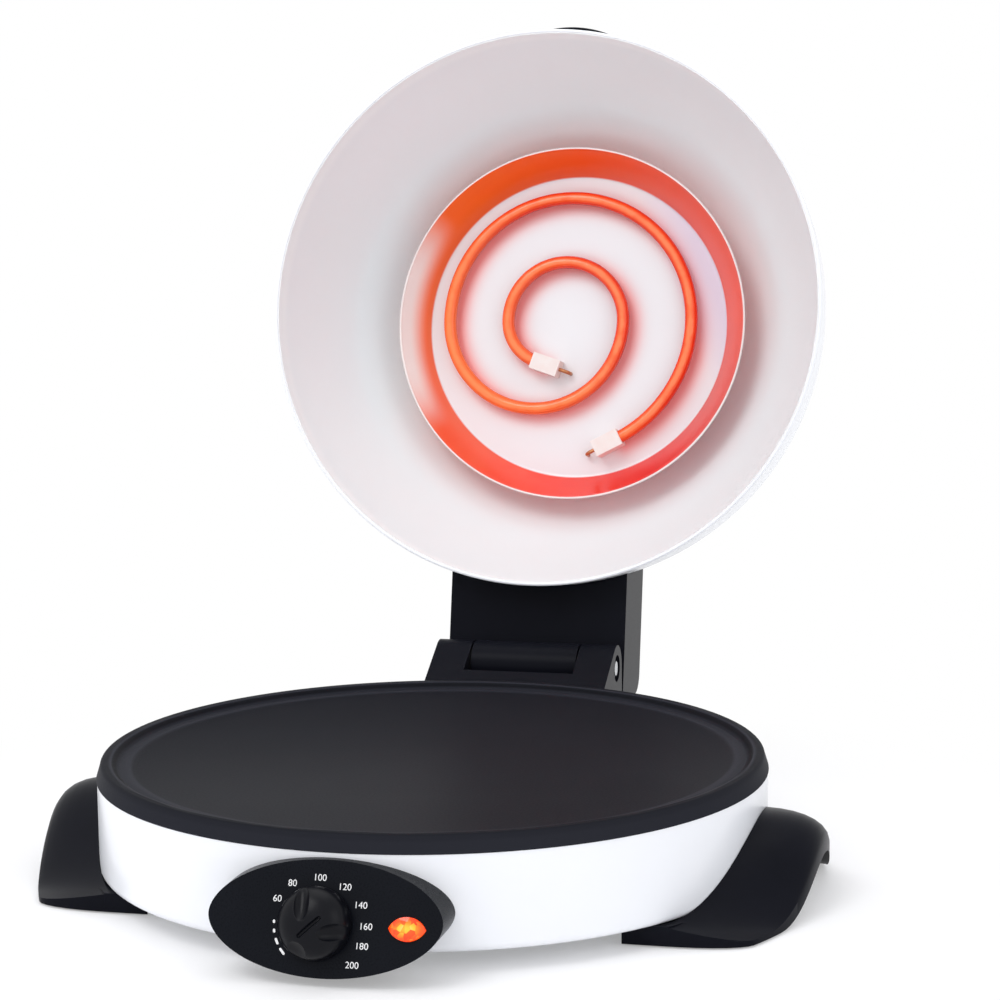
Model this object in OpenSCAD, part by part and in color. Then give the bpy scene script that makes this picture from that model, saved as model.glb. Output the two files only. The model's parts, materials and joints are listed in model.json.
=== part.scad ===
// Electric roti maker: round plate on a white body, domed lid with its own heater on a rear hinge.
// Millimetres. The origin is the centre of the cooking surface, +Z up, the control panel faces -Y.
// The lid is drawn at rest in its open pose, leaning back on its hinge.

/* [Cooking plate] */
// Diameter over the plate's rim
plate_d = 330; // [300:5:360]
// Height of the rim's outer face
rim_h = 8.5; // [7:0.5:12]
// Depth of the cooking surface below the rim's top
surface_drop = 4.5; // [3:0.5:6]
// Thickness of the plate under the cooking surface
plate_t = 5; // [4:0.5:7]
// Width of the rim's flat top
rim_w = 5; // [4:0.5:8]
// Taper of the rim's outer face, on the radius
rim_taper = 3; // [1:0.5:4]
// Width of the ledge between the rim and the cooking surface
ledge_w = 6; // [4:0.5:10]
// Height of the ledge above the cooking surface
ledge_h = 1.4; // [0.8:0.2:2]
// Width of each slope beside the ledge
slope_w = 3; // [2:0.5:5]

/* [Base body] */
// Height of the body's wall below the plate's rim
base_h = 45; // [42:1:60]
// Sheet thickness of the body
base_t = 1.2; // [0.8:0.1:2]
// How far the wall stands inside the plate's rim, on the radius
base_inset = 0.5; // [0:0.1:2]
// Radius of the body's lower edge
base_edge_r = 4; // [3:0.5:8]
// Width of the body's top flange
flange_w = 6; // [5:0.5:8]
// Width of the lip turned in at the bottom
lip_w = 28; // [26:1:34]
// Thickness of the bottom cover
cover_t = 1; // [0.8:0.1:2]
// Overlap of the bottom cover on the lip
cover_lap = 7; // [6:0.5:8]
// Number of bottom cover screws
cover_screws = 6; // [4:1:8]
// Number of vent slots in the bottom cover
vent_count = 18; // [12:1:24]
// Length of a vent slot
vent_len = 24; // [14:1:30]
// Width of a vent slot
vent_w = 4; // [3:0.5:6]
// Radius of the middle of the vent ring
vent_r = 88; // [80:1:95]

/* [Plate heater] */
// Diameter of the tubular heater
tube_d = 6.6; // [6:0.1:8]
// Radius of the heater's ring
ring_r = 104; // [98:1:112]
// Length of the straight tube from each end of the ring to its bend
ring_straight = 26; // [16:1:36]
// Bend radius of the heater's ends
ring_bend = 10; // [8:1:14]
// Length of the heater's straight ends below their bends
ring_leg = 12; // [8:1:14]
// Angle of the ring's open quarter from +X to its middle
ring_turn = 250; // [240:1:260]
// Width of a heater clamp
clamp_w = 14; // [10:1:18]
// Thickness of a heater clamp
clamp_t = 1.5; // [1:0.1:2]
// Diameter of the heat shield
shield_d = 276; // [260:2:286]
// Height of the heat shield's turned edge
shield_edge = 5; // [4:0.5:8]
// Sheet thickness of the heat shield
shield_t = 0.8; // [0.5:0.1:1.2]
// Depth of the heat shield below the plate's underside
shield_drop = 16; // [14:0.5:18]

/* [Tie studs] */
// Diameter of a stud
stud_d = 5; // [4:0.5:6]
// Radius of the studs' circle
stud_r = 62; // [50:1:66]
// Diameter of the cast bosses and of the spacers
boss_d = 13; // [11:0.5:15]
// Depth of the bores in the cast bosses
boss_bore = 14; // [10:0.5:15]
// Thickness of a nut
nut_t = 4; // [3:0.5:5]
// Width of a nut across flats
nut_w = 8; // [7:0.5:10]

/* [Handles and feet] */
// Reach of a side handle out from the wall
ear_out = 30; // [24:1:36]
// Length of a side handle from front foot to back foot
ear_len = 186; // [170:2:200]
// How far the middle of a handle lies in front of the plate's middle
ear_shift = 5; // [0:1:8]
// Depth of a handle's crest below the plate's rim, at the wall
ear_crest = 13.2; // [12:0.2:20]
// Drop of the crest from the wall round to the handle's outer edge
ear_droop = 13; // [8:0.5:14]
// How far the outer corners are rounded in, seen from above
ear_round = 10; // [4:1:14]
// Half length of a handle's arch at the wall
arch_in = 94; // [88:1:98]
// Half length of a handle's arch at its outer edge
arch_out = 72; // [66:1:78]
// Thickness of the foot at the handle's outer edge
sole_t = 2.5; // [2:0.5:4]
// Wall thickness of a handle over its finger space
ear_t = 3.2; // [2.5:0.1:4]
// Half length of the finger space under a handle
grip_half = 62; // [56:1:64]
// Height of the body above the feet's soles
foot_h = 9.2; // [8:0.2:14]
// How far a foot reaches under the body
foot_in = 14; // [13.5:0.5:20]
// Diameter of a rubber foot pad
pad_d = 14; // [10:1:16]
// How far a foot pad stands below the sole
pad_proud = 0.8; // [0.5:0.1:1.5]
// Depth of a foot pad's recess
pad_recess = 1.2; // [1:0.1:1.5]

/* [Control panel] */
// Width of the panel
panel_w = 107; // [100:1:120]
// Upright height of the panel
panel_h = 48.5; // [44:0.5:50]
// Lean of the panel's face, up from straight ahead
panel_tilt = 20; // [14:1:24]
// How far the middle of the face stands out from the body's wall
panel_out = 12.4; // [11:0.2:15]
// Depth of the panel's middle below the plate's rim
panel_drop = 26.3; // [25:0.1:28]
// Wall thickness of the panel
panel_t = 2.4; // [2:0.1:3]
// How pointed the ends of the panel's outline are
panel_point = 1.86; // [1.5:0.02:2]
// Sideways place of the panel's middle
panel_x = -1.5; // [-3:0.5:3]
// Sideways place of the knob on the panel
knob_x = -5; // [-10:0.5:2]
// How far the knob and the lamp sit below the panel's middle
knob_low = 2.3; // [0:0.1:4]
// Diameter of the knob
knob_d = 32.5; // [28:0.5:34]
// Height of the knob
knob_h = 14.5; // [12:0.5:17]
// Gap between the knob and the panel
knob_gap = 0.8; // [0.6:0.1:1.5]
// Diameter of the thermostat's shaft
shaft_d = 6; // [5:0.5:7]
// Running clearance round the shaft, on the radius
shaft_play = 0.05; // [0.03:0.01:0.08]
// Sideways place of the lamp on the panel
lamp_x = 36; // [34:0.5:40]
// Length of the lamp's lens
lamp_w = 17; // [14:0.5:18]
// Height of the lamp's lens
lamp_h = 10.4; // [8:0.2:12]
// How far the lens stands out of the panel
lamp_out = 2.2; // [1.5:0.1:3]

/* [Hinge] */
// Distance of the hinge pin behind the body's wall
hinge_back = 38.5; // [36:0.5:42]
// Diameter of the hinge pin
pin_d = 8; // [6:0.5:10]
// Running clearance of the bushes on the pin, on the radius
pin_play = 0.05; // [0.03:0.01:0.08]
// Width of the hinge tower and of the lid's arm
tower_w = 102; // [90:1:110]
// Width of the arm's knuckle between the tower's cheeks
knuckle_w = 60; // [50:1:66]
// Radius of the knuckle and of the cheeks' rounded tops
knuckle_r = 13; // [11:0.5:14]
// Gap between the knuckle and each cheek
knuckle_gap = 1; // [0.8:0.1:1.5]
// How far the tower's foot reaches behind the pin
tower_heel = 32; // [26:1:40]
// Opening angle of the lid from closed to its rest
lid_open = 102.2; // [96:0.2:106]

/* [Lid] */
// Diameter of the lid's rim
lid_d = 318; // [290:2:320]
// Gap between the dome's inside and the floor of the inner bowl
dome_gap = 13.8; // [11:0.2:20]
// Sheet thickness of the lid's outer shell
lid_t = 1.2; // [0.8:0.1:2]
// Squareness of the dome's curve
dome_curve = 3; // [2.8:0.05:3.4]
// Diameter of the rolled bead at the lid's rim
bead_d = 3.6; // [3:0.2:6]
// Gap between the closed lid and the plate's rim
lid_gap = 0.5; // [0.3:0.1:1]
// Sheet thickness of the lid's inner bowl
liner_t = 0.8; // [0.6:0.1:1.2]
// Depth of the inner bowl's floor above the lid's rim
liner_h = 101; // [98:0.5:104]
// Height of the arm's underside above the pin
arm_low = 19; // [17:0.5:22]
// Height of the arm's top above the pin
arm_high = 66; // [54:1:70]
// How far the arm reaches behind the pin
arm_tail = 14; // [10:0.5:16]
// Reach of the lid's handle out from the lid's middle
grip_reach = 170; // [167:1:178]
// Radius of the handle's front curve
grip_curve = 62; // [58:1:75]
// Height of the handle's lower edge above the lid's rim
grip_low = 46; // [40:1:50]
// Height of the handle
grip_h = 20; // [18:1:24]

/* [Lid heater] */
// Diameter of the reflector pan
pan_d = 206; // [196:2:212]
// Diameter of the pan's floor
pan_floor_d = 180; // [170:2:186]
// Depth of the pan
pan_h = 23; // [18:0.5:26]
// Sheet thickness of the pan
pan_t = 0.8; // [0.6:0.1:1.2]
// Gap between the pan's back and the inner bowl's floor
pan_gap = 4; // [3:0.5:6]
// Diameter of the spiral heater's tube
spiral_d = 7.6; // [6:0.2:9]
// Gap between the spiral and the pan's floor
spiral_gap = 3; // [2:0.5:5]
// Radius of the spiral's outermost arc
spiral_r = 79; // [74:0.5:80]
// Step of the spiral's radius at each of its arcs
spiral_step = [5.5, 20.5, 18, 9];
// Angle turned by the spiral's first and last arcs
spiral_ends = [62, 72];
// Width and height of a ceramic end block
ceramic_w = 10; // [9:0.5:12]
// Length of a ceramic end block
ceramic_len = 17; // [14:0.5:22]

/* [Hidden] */

$fn = 96;
// Facets of small screws and pins
fine_fn = 32;
// Steps along a curved profile
curve_steps = 20;
// Overrun of a cut past the face it opens
cut = 1;
// Bodies are cut longer than anything they pass through
far = 400;
// Clearance of a piece that fits round or inside another, on the radius
fit = 0.15;

rim_top_z = surface_drop;
rim_low_z = rim_top_z - rim_h;
plate_low_z = -plate_t;
wall_r = plate_d / 2 - base_inset;
base_low_z = rim_low_z - base_h;
sole_z = base_low_z - foot_h;
floor_z = sole_z - pad_proud;
lip_in_r = wall_r - lip_w;
cover_r = lip_in_r + cover_lap;
shield_z = plate_low_z - shield_drop;
locate_r = wall_r - flange_w;

// Screws: shank, head diameter and head height
screw_d = 4;
head_d = 7.6;
head_t = 2.4;
small_screw_d = 3;
small_head_d = 5.6;

// Turns around which the pieces lie
stud_angles = [30, 150, 270];
clamp_angles = [-40, 35, 110, 185];
cover_screw_r = lip_in_r + cover_lap / 2;

// Hinge and lid
hinge_y = wall_r + hinge_back;
hinge_z = rim_top_z + lid_gap;
lid_r = lid_d / 2;
// Height of the dome above the lid's rim
lid_h = liner_h + dome_gap + lid_t;
cheek_in = knuckle_w / 2 + knuckle_gap;
shell_r = lid_r - bead_d / 2 + lid_t / 2;
shell_low = bead_d * 0.8;
// The bowl's edge stands a little inside the bead
liner_r = lid_r - bead_d - 0.8 - fit;

// Panel: middle of its face
panel_y = -(wall_r + panel_out);
panel_z = rim_low_z - panel_drop;

function arc(centre, radius, from, to, steps = 8) =
  [for (i = [0:steps]) centre + radius * [cos(from + (to - from) * i / steps), sin(from + (to - from) * i / steps)]];

// Superellipse quarter from the rim (radius a, height 0) to the crown (radius 0, height b)
function dome(a, b, low = 0, steps = curve_steps) =
  [for (i = [0:steps]) let (t = 90 * i / steps)
    [a * pow(max(cos(t), 0), 2 / dome_curve), low + (b - low) * pow(sin(t), 2 / dome_curve)]];

// Radius of the inside of the lid's shell at a height above its rim
function shell_inside(h) = h <= shell_low ? shell_r - lid_t
  : (shell_r - lid_t) * pow(1 - pow((h - shell_low) / (lid_h - lid_t - shell_low), dome_curve), 1 / dome_curve);

// Depth at which a screw's head clears the inside of the lid's shell, at a height h and a distance x
function shell_seat(x, h) = sqrt(pow(shell_inside(h + head_d / 2), 2) - pow(abs(x) + head_d / 2, 2));

function reverse(list) = [for (i = [len(list) - 1:-1:0]) list[i]];

// Depth at which a screw's head clears the inside of the body's round wall, at a distance x from its middle
function seat_y(x) = sqrt(pow(wall_r - base_t - fit, 2) - pow(abs(x) + head_d / 2, 2));

// Raised cosine bell, 1 in the middle and 0 from s = 1
function bell(s) = abs(s) >= 1 ? 0 : (1 + cos(180 * s)) / 2;

module at_angles(angles, r, z = 0) {
  for (a = angles) rotate([0, 0, a]) translate([r, 0, z]) children();
}

// Places closed-lid pieces in the lid's open rest pose
module open_lid() {
  translate([0, hinge_y, hinge_z]) rotate([-lid_open, 0, 0]) translate([0, -hinge_y, 0]) children();
}

// Places pieces on the panel's face: local +Z points out of the face, +Y up along it
module on_panel(x = 0, low = 0) {
  translate([0, panel_y, panel_z]) rotate([90 - panel_tilt, 0, 0]) translate([x, -low, 0]) children();
}

// Screw with a pan head; the shank goes up from z = 0 and the head lies below it
module screw(d, length, head, head_h = head_t) {
  cylinder(d = d, h = length, $fn = fine_fn);
  translate([0, 0, -head_h]) cylinder(d = head, h = head_h, $fn = fine_fn);
}

module hex_nut(width, thickness, bore) {
  difference() {
    cylinder(d = width / cos(30), h = thickness, $fn = 6);
    translate([0, 0, -cut]) cylinder(d = bore, h = thickness + 2 * cut, $fn = fine_fn);
  }
}

// Base pieces

module base_shell() {
  out = wall_r;
  edge = base_edge_r;
  inner_edge = edge - base_t;
  corner = [out - edge, base_low_z + edge];
  color("white") difference() {
    rotate_extrude() polygon(concat(
      [[locate_r, rim_low_z], [out, rim_low_z]],
      arc(corner, edge, 0, -90, 6),
      [[lip_in_r, base_low_z], [lip_in_r, base_low_z + base_t]],
      arc(corner, inner_edge, -90, 0, 6),
      [[out - base_t, rim_low_z - base_t], [locate_r, rim_low_z - base_t]]
    ));
    // Window behind the panel for the thermostat
    translate([knob_x - thermo_w / 2 - window_gap, -out - cut, panel_z - window_low])
      cube([thermo_w + 2 * window_gap, out - lip_in_r, window_low + window_high]);
    // Hole for the lamp's leads
    translate([lamp_x, -out - cut, panel_z]) rotate([-90, 0, 0]) cylinder(d = lamp_w, h = out - lip_in_r);
    panel_screw_places() cylinder(d = screw_d + 2 * fit, h = far / 10, center = true, $fn = fine_fn);
    tower_screw_places() cylinder(d = screw_d + 2 * fit, h = far / 10, center = true, $fn = fine_fn);
    gland_place() cylinder(d = gland_d + 2 * fit, h = far / 10, center = true);
    foot_screw_places() cylinder(d = screw_d + 2 * fit, h = far / 10, center = true, $fn = fine_fn);
    at_angles(cover_screw_angles, cover_screw_r, base_low_z)
      cylinder(d = small_screw_d + 2 * fit, h = far / 10, center = true, $fn = fine_fn);
  }
}

cover_screw_angles = [for (i = [0:cover_screws - 1]) 360 * (i + 0.5) / cover_screws];
window_gap = 2;
window_low = 16;
window_high = 14;

module bottom_cover() {
  color("silver") difference() {
    translate([0, 0, base_low_z - cover_t]) cylinder(r = cover_r, h = cover_t);
    for (i = [0:vent_count - 1]) rotate([0, 0, 360 * (i + 0.5) / vent_count]) {
      translate([vent_r - vent_len / 2, -vent_w / 2, base_low_z - cover_t - cut])
        cube([vent_len, vent_w, cover_t + 2 * cut]);
    }
    at_angles(cover_screw_angles, cover_screw_r, base_low_z)
      cylinder(d = small_screw_d + 2 * fit, h = far / 10, center = true, $fn = fine_fn);
    at_angles(stud_angles, stud_r, base_low_z)
      cylinder(d = stud_d + 2 * fit, h = far / 10, center = true, $fn = fine_fn);
  }
}

module bottom_cover_screws() {
  color("silver") at_angles(cover_screw_angles, cover_screw_r, base_low_z - cover_t)
    screw(small_screw_d, cover_t + base_t + 5, small_head_d, 2);
}

module cooking_plate() {
  out = plate_d / 2;
  top_out = out - rim_taper;
  rim_in = top_out - rim_w;
  ledge_out = rim_in - slope_w;
  ledge_in = ledge_out - ledge_w;
  round_r = 2;
  color("#1b1c22") difference() {
    union() {
      rotate_extrude() polygon(concat(
        [[0, plate_low_z], [locate_r - fit, plate_low_z], [locate_r - fit, rim_low_z], [out, rim_low_z]],
        arc([top_out - round_r + 1, rim_top_z - round_r], round_r, 0, 90, 5),
        [[rim_in + 1, rim_top_z], [rim_in, rim_top_z - 0.6], [ledge_out, ledge_h], [ledge_in, ledge_h],
         [ledge_in - slope_w, 0], [0, 0]]
      ));
      // Cast bosses for the tie studs
      at_angles(stud_angles, stud_r, shield_z) cylinder(d = boss_d, h = shield_drop + 1);
      // Cast lugs for the heater's clamps
      at_angles(clamp_angles, ring_r - lug_in, plate_low_z - tube_d) cylinder(d = lug_d, h = tube_d + 1);
    }
    at_angles(stud_angles, stud_r, shield_z - cut) cylinder(d = stud_d, h = boss_bore + cut, $fn = fine_fn);
    at_angles(clamp_angles, ring_r - lug_in, plate_low_z - tube_d - cut)
      cylinder(d = small_screw_d, h = tube_d + cut + 2, $fn = fine_fn);
  }
}

lug_d = 9;
lug_in = 12;

module plate_studs() {
  top = shield_z + boss_bore;
  low = base_low_z - cover_t - nut_t - 1;
  color("silver") at_angles(stud_angles, stud_r, low) cylinder(d = stud_d, h = top - low, $fn = fine_fn);
}

module stud_spacers() {
  low = base_low_z;
  color("silver") at_angles(stud_angles, stud_r, low) difference() {
    cylinder(d = boss_d - 3, h = shield_z - shield_t - low);
    translate([0, 0, -cut]) cylinder(d = stud_d + 2 * fit, h = far / 4, $fn = fine_fn);
  }
}

module stud_nuts() {
  color("silver") at_angles(stud_angles, stud_r, base_low_z - cover_t - nut_t) hex_nut(nut_w, nut_t, stud_d);
}

// Three quarters of a ring of tube; both ends run on straight and bend down through the heat shield
module lower_heater() {
  color("#5a5a5e") ring_frame() {
    rotate_extrude(angle = 270) translate([ring_r, 0]) circle(d = tube_d, $fn = fine_fn);
    ring_ends() {
      translate([ring_r, 0, 0]) rotate([90, 0, 0]) cylinder(d = tube_d, h = ring_straight, $fn = fine_fn);
      translate([ring_r, -ring_straight, -ring_bend]) rotate([0, -90, 0]) rotate([0, 0, -90])
        rotate_extrude(angle = 90) translate([ring_bend, 0]) circle(d = tube_d, $fn = fine_fn);
      translate([ring_r, -ring_straight - ring_bend, -ring_bend - ring_leg])
        cylinder(d = tube_d, h = ring_leg, $fn = fine_fn);
    }
  }
}

// Middle plane of the tube, with the ring's start on +X
module ring_frame() {
  translate([0, 0, plate_low_z - tube_d / 2]) rotate([0, 0, ring_turn + 45]) children();
}

// Both ends of the ring: local -Y runs on out of the tube at radius ring_r
module ring_ends() {
  children();
  rotate([0, 0, 270]) mirror([0, 1, 0]) children();
}

module heater_clamps() {
  color("silver") for (a = clamp_angles) rotate([0, 0, a]) translate([ring_r, 0, plate_low_z - tube_d])
    difference() {
      translate([-lug_in - lug_d / 2, -clamp_w / 2, -clamp_t])
        cube([lug_in + lug_d / 2 + tube_d / 2 + clamp_t, clamp_w, clamp_t]);
      translate([-lug_in, 0, 0]) cylinder(d = small_screw_d + 2 * fit, h = far / 10, center = true, $fn = fine_fn);
    }
}

module heater_clamp_screws() {
  color("silver") at_angles(clamp_angles, ring_r - lug_in, plate_low_z - tube_d - clamp_t)
    screw(small_screw_d, tube_d, small_head_d, 2);
}

module heat_shield() {
  r = shield_d / 2;
  color("silver") difference() {
    rotate_extrude() polygon([[0, shield_z - shield_t], [r, shield_z - shield_t], [r, shield_z + shield_edge],
      [r - shield_t, shield_z + shield_edge], [r - shield_t, shield_z], [0, shield_z]]);
    at_angles(stud_angles, stud_r, shield_z) cylinder(d = stud_d + 2 * fit, h = cut * 4, center = true);
    ring_frame() ring_ends() translate([ring_r, -ring_straight - ring_bend, 0])
      mirror([0, 0, 1]) cylinder(d = tube_d + 4, h = shield_drop + cut);
  }
}

// Leaf outline of the panel, drawn upright
module leaf(w, h, point = panel_point, steps = $fn) {
  polygon([for (i = [0:steps - 1]) let (t = 360 * i / steps)
    [w / 2 * sign(cos(t)) * pow(abs(cos(t)), 2 / point * 0.94), h / 2 * sign(sin(t)) * pow(abs(sin(t)), 2 / point)]]);
}

// Upright leaf bar behind the leaning face plane, moved back from the face by back
module leaf_bar(inset, back) {
  intersection() {
    translate([panel_x, 0, panel_z]) rotate([90, 0, 0])
      linear_extrude(height = far) leaf(panel_w - 2 * inset, panel_h - 2 * inset);
    on_panel() translate([0, 0, -far / 2 - back]) cube(far, center = true);
  }
}

panel_screw_x = [-36, 20];
panel_boss_d = 8;
panel_bore = 9;

module panel_screw_places() {
  for (x = panel_screw_x) translate([x, -seat_y(x), panel_z]) rotate([90, 0, 0]) children();
}

module control_panel() {
  color("#16171d") difference() {
    union() {
      difference() {
        leaf_bar(0, 0);
        leaf_bar(panel_t, panel_t);
      }
      // Screw bosses from the face back to the body's wall
      intersection() {
        leaf_bar(cut / 2, cut / 2);
        for (x = panel_screw_x) translate([x, 0, panel_z]) rotate([90, 0, 0])
          cylinder(d = panel_boss_d, h = far);
      }
    }
    cylinder(r = wall_r, h = far, center = true);
    panel_screw_places() cylinder(d = screw_d, h = panel_bore, $fn = fine_fn);
    on_panel(knob_x, knob_low) cylinder(d = shaft_d + 3, h = 4 * panel_t, center = true);
    on_panel(lamp_x, knob_low) translate([0, 0, -2 * panel_t]) linear_extrude(height = 4 * panel_t)
      almond(lamp_w + 2 * fit, lamp_h + 2 * fit);
    thermostat_screw_places() cylinder(d = small_screw_d, h = 4 * panel_t, center = true, $fn = fine_fn);
  }
}

module panel_screws() {
  color("silver") panel_screw_places() screw(screw_d, panel_bore - cut, head_d);
}

// Thermostat body sizes
thermo_w = 30;
thermo_h = 18;
thermo_t = 12;
thermo_ear = 5;

module thermostat_screw_places() {
  for (side = [-1, 1]) on_panel(knob_x + side * (thermo_w / 2 - thermo_ear), knob_low) children();
}

module thermostat() {
  color("#d8cfb8") on_panel(knob_x, knob_low) difference() {
    union() {
      translate([-thermo_w / 2, -thermo_h / 2, -panel_t - thermo_ear / 2])
        cube([thermo_w, thermo_h, thermo_ear / 2]);
      translate([-thermo_w / 2 + 2 * thermo_ear, -thermo_h / 2, -panel_t - thermo_t])
        cube([thermo_w - 4 * thermo_ear, thermo_h, thermo_t]);
    }
    cylinder(r = shaft_d / 2 + shaft_play, h = far / 2, center = true);
    for (side = [-1, 1]) translate([side * (thermo_w / 2 - thermo_ear), 0, 0])
      cylinder(d = small_screw_d, h = far / 2, center = true, $fn = fine_fn);
  }
}

module thermostat_screws() {
  color("silver") thermostat_screw_places() mirror([0, 0, 1])
    screw(small_screw_d, panel_t + thermo_ear / 2, small_head_d, knob_gap - 0.3);
}

module thermostat_shaft() {
  low = -panel_t - thermo_t + 2;
  color("silver") on_panel(knob_x, knob_low) translate([0, 0, low])
    cylinder(d = shaft_d, h = knob_gap + knob_bore - fit - low);
}

// Domed knob with three long finger scoops and a pointer groove
module control_knob() {
  r = knob_d / 2;
  skirt = knob_h * 0.2;
  crown = knob_h - skirt;
  color("#101116") on_panel(knob_x, knob_low) translate([0, 0, knob_gap]) rotate([0, 0, pointer_turn]) difference() {
    rotate_extrude() polygon(concat([[0, 0], [r, 0]],
      [for (i = [0:14]) let (t = 90 * i / 14) [r * pow(max(cos(t), 0), 2 / knob_curve), skirt + crown * pow(sin(t), 2 / knob_curve)]]));
    // Each scoop is the low side of a ring that stands over the dome, square to the scoop
    for (a = scoop_angles) rotate([0, 0, a])
      translate([r * 0.68, 0, knob_h * 0.82]) rotate([0, scoop_lean, 0]) translate([0, 0, scoop_ring + scoop_r - scoop_deep])
        rotate([90, 0, 0]) rotate_extrude() translate([scoop_ring, 0]) circle(r = scoop_r, $fn = fine_fn);
    translate([-slot_w / 2, -slot_back, knob_h - slot_deep]) cube([slot_w, r * 0.6 + slot_back, knob_h]);
    translate([0, 0, -cut]) cylinder(d = shaft_d, h = knob_bore + cut);
    translate([0, 0, -cut]) cylinder(r = r - 5, h = cut + 1.2);
  }
}

knob_curve = 2.2;
knob_bore = knob_h * 0.55;
pointer_turn = 138;
scoop_angles = [-32, 90, 206];
scoop_lean = 32;
scoop_ring = 7;
scoop_r = 3.8;
scoop_deep = 2;
slot_w = 1.8;
slot_back = 3;
slot_deep = 1.4;

// Almond outline of the lamp's lens: two equal arcs meeting in points
module almond(w, h) {
  r = (w * w / 4 + h * h / 4) / h;
  intersection() {
    translate([0, r - h / 2]) circle(r = r);
    translate([0, -r + h / 2]) circle(r = r);
  }
}

module lamp_lens() {
  crown_r = (lamp_w * lamp_w / 4 + lamp_out * lamp_out) / (2 * lamp_out);
  color("#ff5a14") on_panel(lamp_x, knob_low) {
    intersection() {
      translate([0, 0, -panel_t - 1]) linear_extrude(height = panel_t + 1 + lamp_out) almond(lamp_w, lamp_h);
      translate([0, 0, lamp_out - crown_r]) sphere(r = crown_r);
    }
    translate([0, 0, -panel_t - 1.8]) linear_extrude(height = 1.6) almond(lamp_w + 3, lamp_h + 3);
  }
}

module neon_lamp() {
  color("#ffb060") on_panel(lamp_x, knob_low) translate([0, 0, -panel_t - 2 - 6]) {
    cylinder(d = 5, h = 5.8);
    translate([0, 0, -2.2]) cylinder(d = 7, h = 2.2);
  }
}

module terminal_block() {
  block = [34, 16, 14];
  color("#e9e4d6") translate([-80, 60, base_low_z + block[2] / 2]) rotate([0, 0, 50]) difference() {
    cube(block, center = true);
    for (x = [-10, 0, 10]) translate([x, 0, 0]) {
      rotate([90, 0, 0]) cylinder(d = 5, h = block[1] + cut, center = true, $fn = fine_fn);
      cylinder(d = 4, h = block[2], $fn = fine_fn);
    }
  }
}

gland_d = 12;
gland_bore = 7;
gland_turn = 122;

module gland_place() {
  rotate([0, 0, gland_turn]) translate([wall_r, 0, base_low_z + 14]) rotate([0, 90, 0]) children();
}

module cord_gland() {
  color("#16171d") gland_place() difference() {
    union() {
      translate([0, 0, -8]) cylinder(d = gland_d, h = 9);
      cylinder(d = gland_d + 5, h = 3);
    }
    cylinder(d = gland_bore, h = far / 10, center = true);
  }
}

// Handles

// Across a handle t runs from 0 at the wall to 1 at its outer edge, along it y runs from its middle
function roll(t) = 1 - sqrt(1 - pow(min(max(t, 0), 1), ear_fullness));
function ear_half(t) = ear_len / 2 - ear_round * roll(t);
function ear_bell(y, t) = bell(y / (arch_in + (arch_out - arch_in) * t));
function ear_sole(t) = sole_z + foot_h + (sole_t - foot_h) * t;
function ear_high(t) = rim_low_z - ear_crest - ear_droop * roll(t);
function ear_top(y, t) = ear_sole(t) + (ear_high(t) - ear_sole(t)) * ear_bell(y, t);
function ear_roof(y, t) = sole_z + (ear_high(t) - sole_z - ear_t * (1 + pow(t, 6))) * bell(y / grip_half);
function ear_at(y, t, z) = let (r = ear_in_r + (ear_out_r - ear_in_r) * t, v = y - ear_shift) [sqrt(r * r - v * v), v, z];

ear_fullness = 2.5;
ear_in_r = wall_r + 0.2;
ear_out_r = wall_r + ear_out;
ear_steps = [for (j = [0:7]) sin(90 * j / 7)];

// Closed solid from a grid of points down to a level; each row crosses the handle
module above_level(rows, low) {
  n = len(rows);
  m = len(rows[0]);
  top = [for (row = rows, p = row) p];
  count = n * m;
  rim = concat([for (j = [0:m - 2]) j], [for (i = [0:n - 2]) i * m + m - 1],
    [for (j = [m - 1:-1:1]) (n - 1) * m + j], [for (i = [n - 1:-1:1]) i * m]);
  polyhedron(points = concat(top, [for (p = top) [p[0], p[1], low]]), convexity = 6, faces = concat(
    [for (i = [0:n - 2], j = [0:m - 2]) let (k = i * m + j) [k, k + m, k + m + 1, k + 1]],
    [for (i = [0:n - 2], j = [0:m - 2]) let (k = count + i * m + j) [k, k + 1, k + m + 1, k + m]],
    [for (i = [0:len(rim) - 1]) let (a = rim[i], b = rim[(i + 1) % len(rim)]) [a, b, b + count, a + count]]
  ));
}

// Solid arch that rises from both feet to the crest, lofted from the wall out to the rolled edge
module ear_arch(steps = 40) {
  above_level([for (i = [0:steps]) [for (t = ear_steps) let (y = ear_half(t) * (2 * i / steps - 1))
    ear_at(y, t, ear_top(y, t))]], sole_z);
}

// Finger space under the arch, lofted like the crest and open below and outward
module ear_tunnel(steps = 28) {
  above_level([for (i = [0:steps]) [for (t = concat([-0.05], ear_steps, [1.1])) let (y = grip_half * (2 * i / steps - 1))
    ear_at(y, t, ear_roof(y, t))]], sole_z - 5);
}

// Both ends of a handle lie under the body's lip, where they are screwed on
module foot_blocks() {
  r_in = wall_r - foot_in;
  intersection() {
    rotate_extrude() translate([r_in, sole_z]) square([foot_in + 3, foot_h]);
    for (side = [-1, 1]) translate([0, -ear_shift + side * (ear_len / 2 + grip_half) / 2, sole_z])
      translate([0, -(ear_len / 2 - grip_half) / 2, -cut])
        cube([far, ear_len / 2 - grip_half, foot_h + 2 * cut]);
  }
}

foot_nut_w = nut_w - 1;
// The nuts clear the round of the body's lower edge
foot_screw_r = wall_r - base_edge_r - foot_nut_w / 2 / cos(30) - fit;
foot_y = [for (side = [-1, 1]) -ear_shift + side * (ear_len / 2 + grip_half) / 2];

module right_foot_screws() {
  for (y = foot_y) translate([sqrt(foot_screw_r * foot_screw_r - y * y), y, base_low_z]) children();
}

module foot_screw_places() {
  for (side = [0, 1]) mirror([side, 0, 0]) right_foot_screws() children();
}

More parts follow.
